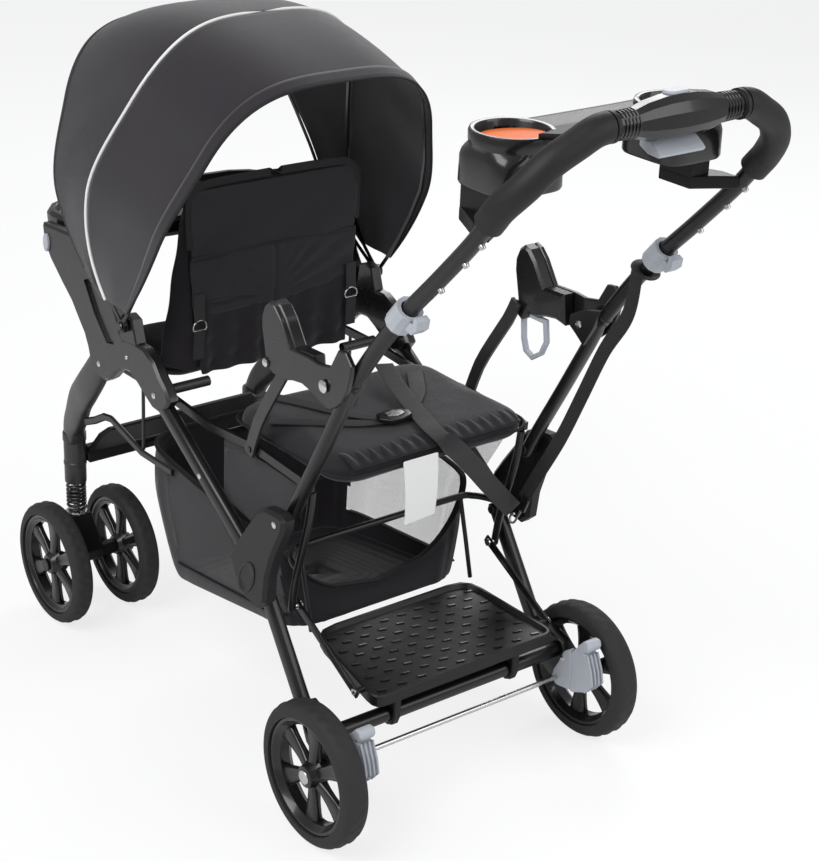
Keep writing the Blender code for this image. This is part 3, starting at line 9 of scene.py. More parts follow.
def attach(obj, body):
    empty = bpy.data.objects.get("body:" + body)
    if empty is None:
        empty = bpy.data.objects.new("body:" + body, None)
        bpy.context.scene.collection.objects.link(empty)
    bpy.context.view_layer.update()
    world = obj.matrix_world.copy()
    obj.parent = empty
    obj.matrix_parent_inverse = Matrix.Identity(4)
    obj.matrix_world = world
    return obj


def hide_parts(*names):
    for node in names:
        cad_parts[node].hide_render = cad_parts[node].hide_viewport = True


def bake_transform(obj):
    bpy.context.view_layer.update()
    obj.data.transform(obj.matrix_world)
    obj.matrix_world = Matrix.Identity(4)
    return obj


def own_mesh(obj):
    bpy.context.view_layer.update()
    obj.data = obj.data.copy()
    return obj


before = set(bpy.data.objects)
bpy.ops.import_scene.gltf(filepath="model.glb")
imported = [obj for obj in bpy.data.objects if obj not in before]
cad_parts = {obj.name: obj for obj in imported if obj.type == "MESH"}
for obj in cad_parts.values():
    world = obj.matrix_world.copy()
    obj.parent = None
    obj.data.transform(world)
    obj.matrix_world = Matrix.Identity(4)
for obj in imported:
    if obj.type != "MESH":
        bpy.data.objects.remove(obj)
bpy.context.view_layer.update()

# View and studio: the camera stands behind the stroller on its left, at an adult's eye height, and looks
# down on it. Three large soft lamps, a pale floor and a white sky light it as a product photograph is lit.
VIEW_AZIMUTH, VIEW_ELEVATION, VIEW_ROLL = math.radians(141.13), math.radians(23.69), math.radians(2.34)
VIEW_BACK = Vector((math.sin(VIEW_AZIMUTH) * math.cos(VIEW_ELEVATION),
                    -math.cos(VIEW_AZIMUTH) * math.cos(VIEW_ELEVATION), math.sin(VIEW_ELEVATION)))
camera_data = bpy.data.cameras.new("camera")
camera_data.lens, camera_data.sensor_width, camera_data.shift_y = 82.4, 36.0, -0.0041
camera = bpy.data.objects.new("camera", camera_data)
bpy.context.scene.collection.objects.link(camera)
camera.location = (1.620, 2.1325, 1.657)
camera.rotation_mode = "QUATERNION"
camera.rotation_quaternion = ((-VIEW_BACK).to_track_quat("-Z", "Y")
                              @ Matrix.Rotation(VIEW_ROLL, 4, "Z").to_quaternion())
bpy.context.scene.camera = camera
bpy.context.scene.view_settings.view_transform = "Standard"


def lamp(name, place, aim, size, power):
    """Square soft lamp at a place, turned to its aim."""
    light = bpy.data.lights.new(name, "AREA")
    light.shape, light.size, light.energy = "SQUARE", size, power
    shown = bpy.data.objects.new(name, light)
    bpy.context.scene.collection.objects.link(shown)
    shown.location = place
    shown.rotation_mode = "QUATERNION"
    shown.rotation_quaternion = (Vector(aim) - Vector(place)).to_track_quat("-Z", "Y")


lamp("key_lamp", (2.6, 0.6, 3.2), (0.0, 0.0, 0.5), 2.2, 95.0)
lamp("fill_lamp", (-1.4, 3.2, 2.4), (0.0, 0.0, 0.5), 2.4, 45.0)
lamp("rim_lamp", (-2.6, -2.0, 2.8), (0.0, 0.0, 0.6), 1.8, 50.0)


class Reading:
    """A node socket that Python arithmetic can be written on, so that 1 - mask * 2 adds Math nodes."""

    def __init__(self, finish, socket):
        self.finish, self.socket = finish, socket

    def _maths(self, operation, *values, clamp=False):
        return self.finish.add("ShaderNodeMath", {"operation": operation, "use_clamp": clamp},
                               dict(enumerate(values)))

    def __add__(self, other):
        return self._maths("ADD", self, other)

    def __sub__(self, other):
        return self._maths("SUBTRACT", self, other)

    def __rsub__(self, other):
        return self._maths("SUBTRACT", other, self)

    def __mul__(self, other):
        return self._maths("MULTIPLY", self, other)

    def __truediv__(self, other):
        return self._maths("DIVIDE", self, other)

    def __pow__(self, other):
        return self._maths("POWER", self, other)

    __radd__, __rmul__ = __add__, __mul__

    def sine(self):
        return self._maths("SINE", self)

    def size(self):
        return self._maths("ABSOLUTE", self)

    def above(self, edge, soft):
        """0 below edge and 1 above edge + soft, with a straight ramp between them."""
        return self._maths("MULTIPLY", self - edge, 1.0 / soft, clamp=True)

    def wrapped(self, length):
        return self._maths("PINGPONG", self, length)


class Finish:
    """One surface finish: a Principled shader whose sockets take numbers, colours or readings."""

    def __init__(self, name, **steady):
        self.material = bpy.data.materials.new(name)
        self.material.use_nodes = True
        self.tree = self.material.node_tree
        self.shader = self.tree.nodes["Principled BSDF"]
        self.set(**steady)

    def add(self, kind, settings=None, sockets=None, output=0):
        """Add any node: its settings first, then the values or links of its sockets."""
        node = self.tree.nodes.new(kind)
        for key, value in (settings or {}).items():
            if key == "stops":
                while len(node.color_ramp.elements) < len(value):
                    node.color_ramp.elements.new(0.5)
                for element, (place, colour) in zip(node.color_ramp.elements, value):
                    element.position, element.color = place, (*colour, 1.0)
            else:
                setattr(node, key, value)
        for key, value in (sockets or {}).items():
            self.feed(node.inputs[key], value)
        return Reading(self, node.outputs[output])

    def feed(self, socket, value):
        if isinstance(value, Reading):
            self.tree.links.new(value.socket, socket)
        elif socket.type == "RGBA" and len(value) == 3:
            socket.default_value = (*value, 1.0)
        else:
            socket.default_value = value

    def set(self, **sockets):
        for key, value in sockets.items():
            self.feed(self.shader.inputs[key.replace("_", " ")], value)
        return self

    def place(self):
        """Object coordinates, in metres, as x, y and z readings."""
        point = self.add("ShaderNodeTexCoord", output=3)
        split = self.add("ShaderNodeSeparateXYZ", sockets={0: point})
        return [Reading(self, split.socket.node.outputs[k]) for k in range(3)]

    def layout(self):
        """The piece's own UV map as u and v readings."""
        point = self.add("ShaderNodeUVMap", {"uv_map": "cut"})
        split = self.add("ShaderNodeSeparateXYZ", sockets={0: point})
        return [Reading(self, split.socket.node.outputs[k]) for k in range(2)]

    def noise(self, scale, detail=3.0, roughness=0.5):
        point = self.add("ShaderNodeTexCoord", output=3)
        return self.add("ShaderNodeTexNoise", sockets={"Vector": point, "Scale": scale, "Detail": detail,
                                                       "Roughness": roughness})

    def colours(self, share, low, high):
        """Mix two colours by a reading."""
        node = self.tree.nodes.new("ShaderNodeMix")
        node.data_type = "RGBA"
        self.feed(node.inputs[0], share)
        self.feed(node.inputs[6], low)
        self.feed(node.inputs[7], high)
        return Reading(self, node.outputs[2])

    def relief(self, height, depth, strength=1.0):
        """Bump whose height reading of 1 stands depth metres proud."""
        bump = self.add("ShaderNodeBump", sockets={"Strength": strength, "Distance": depth,
                                                   "Height": height})
        self.set(Normal=bump)
        return self


floor_finish = Finish("studio floor", Base_Color=(0.86, 0.865, 0.87), Roughness=0.9, Specular_IOR_Level=0.1)
seen = floor_finish.add("ShaderNodeLightPath")
glow = floor_finish.add("ShaderNodeEmission", sockets={"Color": (1.0, 1.0, 1.0), "Strength": 1.04})
plain_floor = Reading(floor_finish, floor_finish.shader.outputs[0])
mixed = floor_finish.add("ShaderNodeMixShader", sockets={0: seen * 0.74, 1: plain_floor, 2: glow})
floor_finish.tree.links.new(mixed.socket, floor_finish.tree.nodes["Material Output"].inputs["Surface"])
floor_mesh = bpy.data.meshes.new("floor")
floor_mesh.from_pydata([(-9, -9, 0), (9, -9, 0), (9, 9, 0), (-9, 9, 0)], [], [(0, 1, 2, 3)])
floor_mesh.materials.append(floor_finish.material)
floor = bpy.data.objects.new("floor", floor_mesh)
bpy.context.scene.collection.objects.link(floor)

world = bpy.data.worlds.new("studio")
bpy.context.scene.world = world
world.use_nodes = True
sky = world.node_tree
soft_sky = sky.nodes["Background"]
soft_sky.inputs["Color"].default_value = (0.96, 0.98, 1.0, 1.0)
soft_sky.inputs["Strength"].default_value = 0.45
white_sky = sky.nodes.new("ShaderNodeBackground")
rays = sky.nodes.new("ShaderNodeLightPath")
choose = sky.nodes.new("ShaderNodeMixShader")
sky.links.new(rays.outputs["Is Camera Ray"], choose.inputs[0])
sky.links.new(soft_sky.outputs[0], choose.inputs[1])
sky.links.new(white_sky.outputs[0], choose.inputs[2])
sky.links.new(choose.outputs[0], sky.nodes["World Output"].inputs["Surface"])


# Frame tubes: bent steel with a black semi-gloss powder coat, whose fine orange-peel shows only near.
# The legs' charcoal is a satin coat with a faint metallic grain.
def shell(name, points, faces, finish, body, smooth=True):
    """A piece from arrays: points (n, 3) and quads or triangles, in the finish, on a CAD body."""
    mesh = bpy.data.meshes.new(name)
    points = np.asarray(points, float).reshape(-1, 3)
    mesh.from_pydata(points.tolist(), [], np.asarray(faces).tolist() if not isinstance(faces,
                                                                                       list) else faces)
    mesh.validate()
    mesh.materials.append(finish.material)
    made = bpy.data.objects.new(name, mesh)
    bpy.context.scene.collection.objects.link(made)
    body_mesh = bmesh.new()
    body_mesh.from_mesh(mesh)
    bmesh.ops.remove_doubles(body_mesh, verts=body_mesh.verts, dist=1e-6)
    bmesh.ops.recalc_face_normals(body_mesh, faces=body_mesh.faces)
    body_mesh.to_mesh(mesh)
    body_mesh.free()
    for polygon in mesh.polygons:
        polygon.use_smooth = smooth
    mesh.set_sharp_from_angle(angle=math.radians(38))
    if body:
        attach(made, body)
    return made


def grid_faces(rows, columns, around=True, closed=False):
    """Quads of a grid of rows by columns; around joins the last column to the first."""
    r = np.arange(rows if closed else rows - 1)[:, None]
    c = np.arange(columns if around else columns - 1)[None, :]
    nr, nc = (r + 1) % rows, (c + 1) % columns
    quads = np.stack([r * columns + c, r * columns + nc, nr * columns + nc, nr * columns + c], -1)
    return quads.reshape(-1, 4).tolist()


def smooth_path(points, steps=6):
    """Catmull-Rom curve through points of any dimension, as one array."""
    p = np.asarray(points, float)
    p = np.vstack([2 * p[0] - p[1], p, 2 * p[-1] - p[-2]])
    t = (np.arange(steps) / steps)[None, :, None]
    a, b, c, d = p[:-3, None], p[1:-2, None], p[2:-1, None], p[3:, None]
    run = 0.5 * (2 * b + (c - a) * t + (2 * a - 5 * b + 4 * c - d) * t ** 2
                 + (3 * b - a - 3 * c + d) * t ** 3)
    return np.vstack([run.reshape(-1, p.shape[1]), p[-2:-1]])


def frames_along(path, across):
    """Unit side and other vectors at each point of a path, with side kept near the across direction."""
    step = np.gradient(path, axis=0)
    tangent = step / np.linalg.norm(step, axis=1)[:, None]
    side = np.tile(np.asarray(across, float), (len(path), 1))
    side = side - (side * tangent).sum(1)[:, None] * tangent
    side = side / np.maximum(np.linalg.norm(side, axis=1), 1e-9)[:, None]
    return side, np.cross(tangent, side)


def tube(path, half_side, half_other, sides=20, power=2.0, across=(1, 0, 0), rounding=0.35):
    """Superellipse section carried along a path, with both ends rounded over to a flat cap."""
    path = np.asarray(path, float)
    n = len(path)
    a = np.broadcast_to(np.asarray(half_side, float), (n,)).copy()
    b = np.broadcast_to(np.asarray(half_other, float), (n,)).copy()
    side, other = frames_along(path, across)
    ease = np.minimum(a.min(), b.min()) * rounding
    first = (path[1] - path[0]) / np.linalg.norm(path[1] - path[0])
    last = (path[-1] - path[-2]) / np.linalg.norm(path[-1] - path[-2])
    path = np.vstack([path[0], path[0] + first * ease * 0.3, path[0] + first * ease, path[1:-1],
                      path[-1] - last * ease, path[-1] - last * ease * 0.3, path[-1]])
    shrink = np.concatenate([[ease, ease * 0.3, 0.0], np.zeros(n - 2), [0.0, ease * 0.3, ease]])
    pick = np.concatenate([[0, 0, 0], np.arange(1, n - 1), [n - 1, n - 1, n - 1]])
    a, b, side, other = a[pick] - shrink, b[pick] - shrink, side[pick], other[pick]
    turn = 2 * np.pi * (np.arange(sides) + 0.5) / sides
    c = np.sign(np.cos(turn)) * np.abs(np.cos(turn)) ** (2 / power)
    s = np.sign(np.sin(turn)) * np.abs(np.sin(turn)) ** (2 / power)
    points = (path[:, None] + (a[:, None] * c)[..., None] * side[:, None]
              + (b[:, None] * s)[..., None] * other[:, None])
    rows = len(path)
    faces = grid_faces(rows, sides) + [list(range(sides)), list(range((rows - 1) * sides, rows * sides))]
    return points.reshape(-1, 3), faces


def mirror_x(points, side):
    return np.asarray(points, float) * np.array([side, 1.0, 1.0])


def joined(*parts):
    """Several (points, faces) pairs as one."""
    points, faces, start = [], [], 0
    for part_points, part_faces in parts:
        part_points = np.asarray(part_points, float).reshape(-1, 3)
        points.append(part_points)
        faces += [[i + start for i in face] for face in part_faces]
        start += len(part_points)
    return np.vstack(points), faces


def yz(x, rows):
    """Points at one x from (y, z) rows written from the rear axle, moved into the stroller's frame."""
    rows = np.asarray(rows, float)
    return np.column_stack([np.full(len(rows), x), rows[:, 0] + AXLE_Y, rows[:, 1]])


AXLE_Y = 0.2575
SIDES = (("left", 1.0), ("right", -1.0))

frame_paint = Finish("black powder coat", Base_Color=(0.0058, 0.0050, 0.0056), Coat_Weight=0.22,
                     Coat_Roughness=0.12,
                     Specular_IOR_Level=0.32)
peel = frame_paint.noise(900.0, 2.0)
frame_paint.set(Roughness=frame_paint.noise(30.0) * 0.10 + 0.27)
frame_paint.relief(peel, 0.00012, 0.5)

charcoal_paint = Finish("charcoal satin coat", Coat_Weight=0.15, Coat_Roughness=0.25)
grain = charcoal_paint.noise(1400.0, 2.0)
charcoal_paint.set(Base_Color=charcoal_paint.colours(grain, (0.014, 0.013, 0.013), (0.026, 0.0245, 0.0245)),
                   Roughness=charcoal_paint.noise(40.0) * 0.12 + 0.36)
charcoal_paint.relief(grain, 0.0001, 0.5)

bright_metal = Finish("bright rivets", Metallic=1.0, Base_Color=(0.62, 0.61, 0.60))
bright_metal.set(Roughness=bright_metal.noise(300.0) * 0.15 + 0.18)


def rivet(name, centre, side, body, radius=0.0062, proud=0.0022, finish=bright_metal):
    """Domed rivet head on a face that looks along +X or -X: a sixth of a sphere, flat at its rim."""
    sweep = np.linspace(0.0, 1.0, 7)[:, None]
    turn = np.linspace(0, 2 * np.pi, 24, endpoint=False)[None, :]
    r = radius * sweep
    out = proud * np.sqrt(np.maximum(0.0, 1 - (sweep * 0.96) ** 2)) + 0 * turn
    x = centre[0] + side * out
    y = centre[1] + AXLE_Y + r * np.cos(turn)
    z = centre[2] + r * np.sin(turn)
    rim = np.stack([np.full(24, centre[0] - side * 0.0004), y[-1], z[-1]], -1)
    points = np.vstack([np.stack([x, y, z], -1).reshape(-1, 3), rim])
    return shell(name, points, grid_faces(8, 24), finish, body)

LOWER_TUBE = [(-0.122, 0.433), (-0.104, 0.470), (-0.082, 0.510), (-0.054, 0.560), (-0.030, 0.604),
              (-0.006, 0.648),
              (0.012, 0.684), (0.024, 0.702)]
UPPER_TUBE = [(0.012, 0.684), (0.024, 0.702), (0.072, 0.766), (0.122, 0.824), (0.176, 0.879),
              (0.232, 0.938),
              (0.262, 0.974)]
for side_name, side in SIDES:
    lower = smooth_path(yz(0.2175, LOWER_TUBE), 5)
    upper = smooth_path(yz(0.2175, UPPER_TUBE), 5)
    flare = np.clip(np.linspace(0, len(LOWER_TUBE) - 1, len(lower)) - 6.0, 0, 1)
    points, faces = joined(tube(lower, 0.0110 + 0.0008 * flare, 0.0088 + 0.0028 * flare, 20, 2.6),
                           tube(upper[2:], 0.0109, 0.0109, 20))
    made = shell(f"frame_upright_{side_name}", mirror_x(points, side), faces, frame_paint, "handle")
    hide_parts(f"handle_tube_{side_name}")
    bracket = np.array([(-0.031, 0.674), (-0.030, 0.690), (-0.018, 0.697), (0.004, 0.706), (0.028, 0.712),
                        (0.018, 0.684), (0.000, 0.652), (-0.016, 0.664)])
    ring = [yz(x, bracket) for x in (0.1996, 0.2080)]
    points = mirror_x(np.vstack(ring), side)
    faces = grid_faces(2, 8) + [list(range(8)), list(range(8, 16))]
    shell(f"armrest_bracket_{side_name}", points, faces, frame_paint, "handle", False)
    rivet(f"upright_bolt_{side_name}", (side * 0.2400, -0.018, 0.682), side, "handle", 0.0088, 0.0030)
    rivet(f"upright_bolt_in_{side_name}", (side * 0.1994, -0.012, 0.680), -side, "handle", 0.0060, 0.0020)
    # snap studs on the underside, where the cup holder and the canopy clip on
    for k, (y, z) in enumerate(((0.176, 0.879), (0.218, 0.923), (0.245, 0.953))):
        turn = np.linspace(0, 2 * np.pi, 20, endpoint=False)
        rings = []
        down = np.array([0.0, 0.72, -0.69])
        flat = np.array([0.0, 0.69, 0.72])
        circle = np.cos(turn)[:, None] * np.array([1.0, 0, 0]) + np.sin(turn)[:, None] * flat
        for out, radius in ((0.008, 0.0042), (0.0120, 0.0042), (0.0150, 0.0036), (0.0152, 0.0005)):
            rings.append(np.array([side * 0.2175, y + AXLE_Y, z]) + out * down + radius * circle)
        shell(f"snap_stud_{side_name}_{k}", np.vstack(rings), grid_faces(4, 20) + [list(range(60, 80))],
              bright_metal, "handle")

REAR_LEG = [(-0.186, 0.3265), (-0.160, 0.2875), (-0.132, 0.246), (-0.108, 0.211), (-0.084, 0.176),
            (-0.045, 0.124)]
FRONT_RAIL = [(-0.452, 0.508), (-0.330, 0.4295), (-0.203, 0.3478)]
for side_name, side in SIDES:
    points, faces = tube(smooth_path(yz(0.2175, REAR_LEG), 4), 0.0100, 0.0118, 20, 3.0)
    axle_block = np.array([(-0.084, 0.170), (-0.062, 0.184), (-0.030, 0.172), (-0.004, 0.167),
                           (0.006, 0.150),
                           (0.014, 0.122), (0.014, 0.098), (0.002, 0.092), (-0.030, 0.101),
                           (-0.060, 0.118)])
    middle = axle_block.mean(0)
    rings = [yz(x, middle + (axle_block - middle) * k)
             for x, k in ((0.2069, 0.93), (0.2082, 0.98), (0.2100, 1.0), (0.2240, 1.0), (0.2258, 0.98),
                          (0.2269, 0.93))]
    block = (np.vstack(rings), grid_faces(6, 10) + [list(range(10)), list(range(50, 60))])
    made = shell(f"rear_leg_tube_{side_name}", mirror_x(points, side), faces, frame_paint, "rear_frame")
    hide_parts(f"rear_leg_{side_name}")
    shell(f"axle_block_{side_name}", mirror_x(block[0], side), block[1], frame_paint,
                  "rear_frame")
    turn = np.linspace(0, 2 * np.pi, 32, endpoint=False)
    stub = [(0.224, 0.0125), (0.2333, 0.0125), (0.2333, 0.006), (0.2720, 0.006), (0.2720, 0.0105),
            (0.2729, 0.0100),
            (0.2734, 0.0080), (0.2736, 0.0010)]
    rings = [np.column_stack([np.full(32, x), AXLE_Y + r * np.cos(turn), 0.108 + r * np.sin(turn)]) for x,
             r in stub]
    points = mirror_x(np.vstack(rings), side)
    shell(f"rear_axle_{side_name}", points, grid_faces(8, 32) + [list(range(224, 256))], bright_metal,
          "rear_frame")
    made = shell(f"front_rail_{side_name}",
                 *(lambda p, f: (mirror_x(p, side), f))(*tube(yz(0.2215, FRONT_RAIL), 0.0100, 0.0138, 20,
                                                              2.6)),
                 frame_paint, "chassis")
    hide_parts(f"front_tube_{side_name}")
    rivet(f"rail_rivet_{side_name}", (side * 0.2312, -0.330, 0.4295), side, "chassis", 0.0045, 0.0016)

points, faces = tube(np.column_stack([np.linspace(-0.2066, 0.2066, 9), np.full(9, -0.015 + AXLE_Y),
                                      np.full(9, 0.150)]),
                     0.0120, 0.0120, 28, across=(0, 0, 1), rounding=0.1)
made = shell("rear_cross_bar", points, faces, frame_paint, "rear_frame")
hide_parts("rear_cross_tube")


# Hub covers: charcoal mouldings, screwed over the joint of front tube, rear leg and upright. Each has a
# plain oval plate with a raised rim.
def softened(name, nodes, finish, body, width=0.0018, angle=28.0):
    """Merged copies of CAD nodes with rounded edges, which stand for the nodes."""
    merged = bmesh.new()
    for node in nodes:
        merged.from_mesh(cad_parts[node].data)
    bmesh.ops.remove_doubles(merged, verts=merged.verts, dist=0.00002)
    bmesh.ops.dissolve_limit(merged, angle_limit=math.radians(1.0), verts=merged.verts, edges=merged.edges)
    mesh = bpy.data.meshes.new(name)
    merged.to_mesh(mesh)
    merged.free()
    mesh.materials.clear()
    mesh.materials.append(finish.material)
    made = bpy.data.objects.new(name, mesh)
    bpy.context.scene.collection.objects.link(made)
    for polygon in mesh.polygons:
        polygon.use_smooth = True
        polygon.material_index = 0
    edge = made.modifiers.new("edge", "BEVEL")
    edge.width, edge.segments, edge.limit_method, edge.angle_limit = width, 3, "ANGLE", math.radians(angle)
    edge.use_clamp_overlap = True
    even = made.modifiers.new("even", "WEIGHTED_NORMAL")
    even.keep_sharp = False
    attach(made, body)
    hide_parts(*nodes)
    return made


charcoal_moulding = Finish("charcoal moulding", Specular_IOR_Level=0.28)
pebble = charcoal_moulding.noise(1100.0, 3.0, 0.6)
charcoal_moulding.set(Base_Color=charcoal_moulding.colours(charcoal_moulding.noise(18.0),
                                                           (0.0098, 0.0084, 0.0092),
                                                           (0.0150, 0.0130, 0.0142)),
                      Roughness=pebble * 0.18 + 0.34)
charcoal_moulding.relief(pebble, 0.00018, 0.6)

black_moulding = Finish("black satin moulding", Specular_IOR_Level=0.26)
pores = black_moulding.noise(1300.0, 3.0, 0.6)
black_moulding.set(Base_Color=black_moulding.colours(black_moulding.noise(14.0), (0.0056, 0.0047, 0.0052),
                                                     (0.0092, 0.0078, 0.0086)),
                   Roughness=pores * 0.16 + 0.30)
black_moulding.relief(pores, 0.00016, 0.5)

black_gloss = Finish("black gloss moulding", Coat_Weight=0.32, Coat_Roughness=0.08, Specular_IOR_Level=0.35)
wave = black_gloss.noise(26.0, 2.0)
black_gloss.set(Base_Color=(0.0088, 0.0074, 0.0084), Roughness=wave * 0.12 + 0.22)
black_gloss.relief(wave, 0.0006, 0.25)


def disc(name, centre, half_y, half_z, low, high, side, finish, body, lip=0.0, tilt=0.0):
    """Oval pad on a face along X: rings of an ellipse, rising from low to high with a raised lip."""
    turn = np.linspace(0, 2 * np.pi, 48, endpoint=False)
    shares = [(1.0, low), (1.0, high - 0.0004), (0.96, high), (0.86, high), (0.80, high - lip),
              (0.4, high - lip),
              (0.02, high - lip)]
    rings = []
    for share, x in shares:
        y, z = half_y * share * np.cos(turn), half_z * share * np.sin(turn)
        rings.append(np.column_stack([np.full(48, side * x),
                                      centre[0] + AXLE_Y + y * math.cos(tilt) - z * math.sin(tilt),
                                      centre[1] + y * math.sin(tilt) + z * math.cos(tilt)]))
    return shell(name, np.vstack(rings), grid_faces(7, 48) + [list(range(48)), list(range(288, 336))],
                 finish, body)


for side_name, side in SIDES:
    softened(f"hub_cover_{side_name}", [f"hub_housing_{side_name}"], charcoal_moulding, "chassis", 0.0022)
    disc(f"hub_plate_{side_name}", (-0.168, 0.343), 0.0300, 0.0170, 0.2548, 0.2572, side,
         charcoal_moulding, "chassis",
         0.0010, math.radians(62))
    rivet(f"hub_screw_high_{side_name}", (side * 0.2561, -0.102, 0.452), side, "chassis", 0.0050, 0.0016)


# Wheels: dark grey foamed tyres with a block tread on black six-bladed moulded rims. The front ones
# turn in pairs on a caster's axle pin, and the rear ones on stub axles with bright caps.
def ring_of(profile, centre, turns=96, tread=None):
    """Closed (x, radius) profile turned about X; tread adds its (turn, share) height to the radius."""
    profile = np.asarray(profile, float)
    turn = np.linspace(0, 2 * np.pi, turns, endpoint=False)[:, None]
    x = profile[None, :, 0] + 0 * turn
    r = profile[None, :, 1] + (tread(turn, profile) if tread else 0.0) + 0 * turn
    points = np.stack([x + centre[0], r * np.cos(turn) + centre[1], r * np.sin(turn) + centre[2]], -1)
    return points.reshape(-1, 3), grid_faces(turns, len(profile), True, True)


tyre_rubber = Finish("tyre rubber", Specular_IOR_Level=0.35)
dust = tyre_rubber.noise(60.0, 4.0, 0.6)
tyre_rubber.set(Base_Color=tyre_rubber.colours(dust, (0.017, 0.016, 0.017), (0.034, 0.032, 0.033)),
                Roughness=dust * 0.2 + 0.62)
tyre_rubber.relief(tyre_rubber.noise(700.0), 0.0002, 0.5)


def wheel(name, centre, radius, width, depth, body, nodes):
    """Tyre, rim, blades and hub. The tyre's section is a squared half circle with lugs cut in its crown."""
    half, rim = width / 2, radius - depth
    lean = np.linspace(0, np.pi, 23)
    across = -half * np.sign(np.cos(lean)) * np.abs(np.cos(lean)) ** 0.72
    rise = rim + 0.0004 + (radius - rim - 0.0004) * np.abs(np.sin(lean)) ** 0.62
    section = np.column_stack([across, rise])

    def tread(turn, profile):
        crown = np.clip((profile[None, :, 1] - radius + 0.0035) / 0.0035, 0, 1)
        lug = np.tanh(4.0 * np.sin(30 * turn + np.sign(profile[None, :, 0]) * 1.6)) * 0.5 - 0.5
        groove = -np.exp(-(profile[None, :, 0] / 0.0016) ** 2)
        return 0.0016 * crown * np.minimum(lug * (np.abs(profile[None, :, 0]) > 0.0035), groove)

    tyre = shell(f"{name}_tyre", *ring_of(section, centre, 240, tread), tyre_rubber, body)
    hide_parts(*nodes)
    lip = half - 0.0035
    rim_section = [(-lip, rim), (-lip - 0.0006, rim - 0.002), (-lip, rim - 0.0055),
                   (-lip + 0.004, rim - 0.0085),
                   (-0.008, rim - 0.013), (0.008, rim - 0.013), (lip - 0.004, rim - 0.0085),
                   (lip, rim - 0.0055),
                   (lip + 0.0006, rim - 0.002), (lip, rim)]
    hub_half = half - 0.0012
    hub_section = [(-hub_half, 0.0066), (-hub_half, 0.0130), (-hub_half + 0.0015, 0.0160), (-0.009, 0.0185),
                   (0.0, 0.0235), (0.009, 0.0185), (hub_half - 0.0015, 0.0160), (hub_half, 0.0130),
                   (hub_half, 0.0066)]
    parts = [ring_of(rim_section, centre, 96), ring_of(hub_section, centre, 64)]
    for k in range(6):
        angle = 2 * np.pi * (k + 0.5) / 6
        out = np.array([0.0, math.cos(angle), math.sin(angle)])
        reach = np.array([0.012, 0.020, 0.032, 0.046, 0.060, rim - 0.011])
        path = np.array(centre) + reach[:, None] * out
        parts.append(tube(path, [0.0080, 0.0085, 0.0098, 0.0115, 0.0138, 0.0170],
                          [0.0085, 0.0080, 0.0066, 0.0060, 0.0064, 0.0080], 16, 3.2,
                          across=(0.0, -math.sin(angle), math.cos(angle)), rounding=0.05))
    return shell(f"{name}_rim", *joined(*parts), black_gloss, body)


for side_name, side in SIDES:
    wheel(f"rear_roller_{side_name}", (side * 0.2527, AXLE_Y, 0.108), 0.108, 0.040, 0.0215,
          f"rear_roller_{side_name}",
          [f"rear_wheel_{side_name}", f"rear_tyre_{side_name}"])
    for place, x in (("outer", 0.2415), ("inner", 0.1155)):
        centre = (side * x, -0.5045, 0.104)
        wheel(f"front_roller_{side_name}_{place}", centre, 0.104, 0.034, 0.019,
              f"wheel_{side_name}_{place}",
              [f"front_wheel_{side_name}_{place}"])
        out = side * (1 if place == "outer" else -1)
        rivet(f"front_cap_{side_name}_{place}", (side * x + out * 0.0172, -0.762, 0.104), out,
              f"fork_{side_name}", 0.0085, 0.0032, black_gloss)

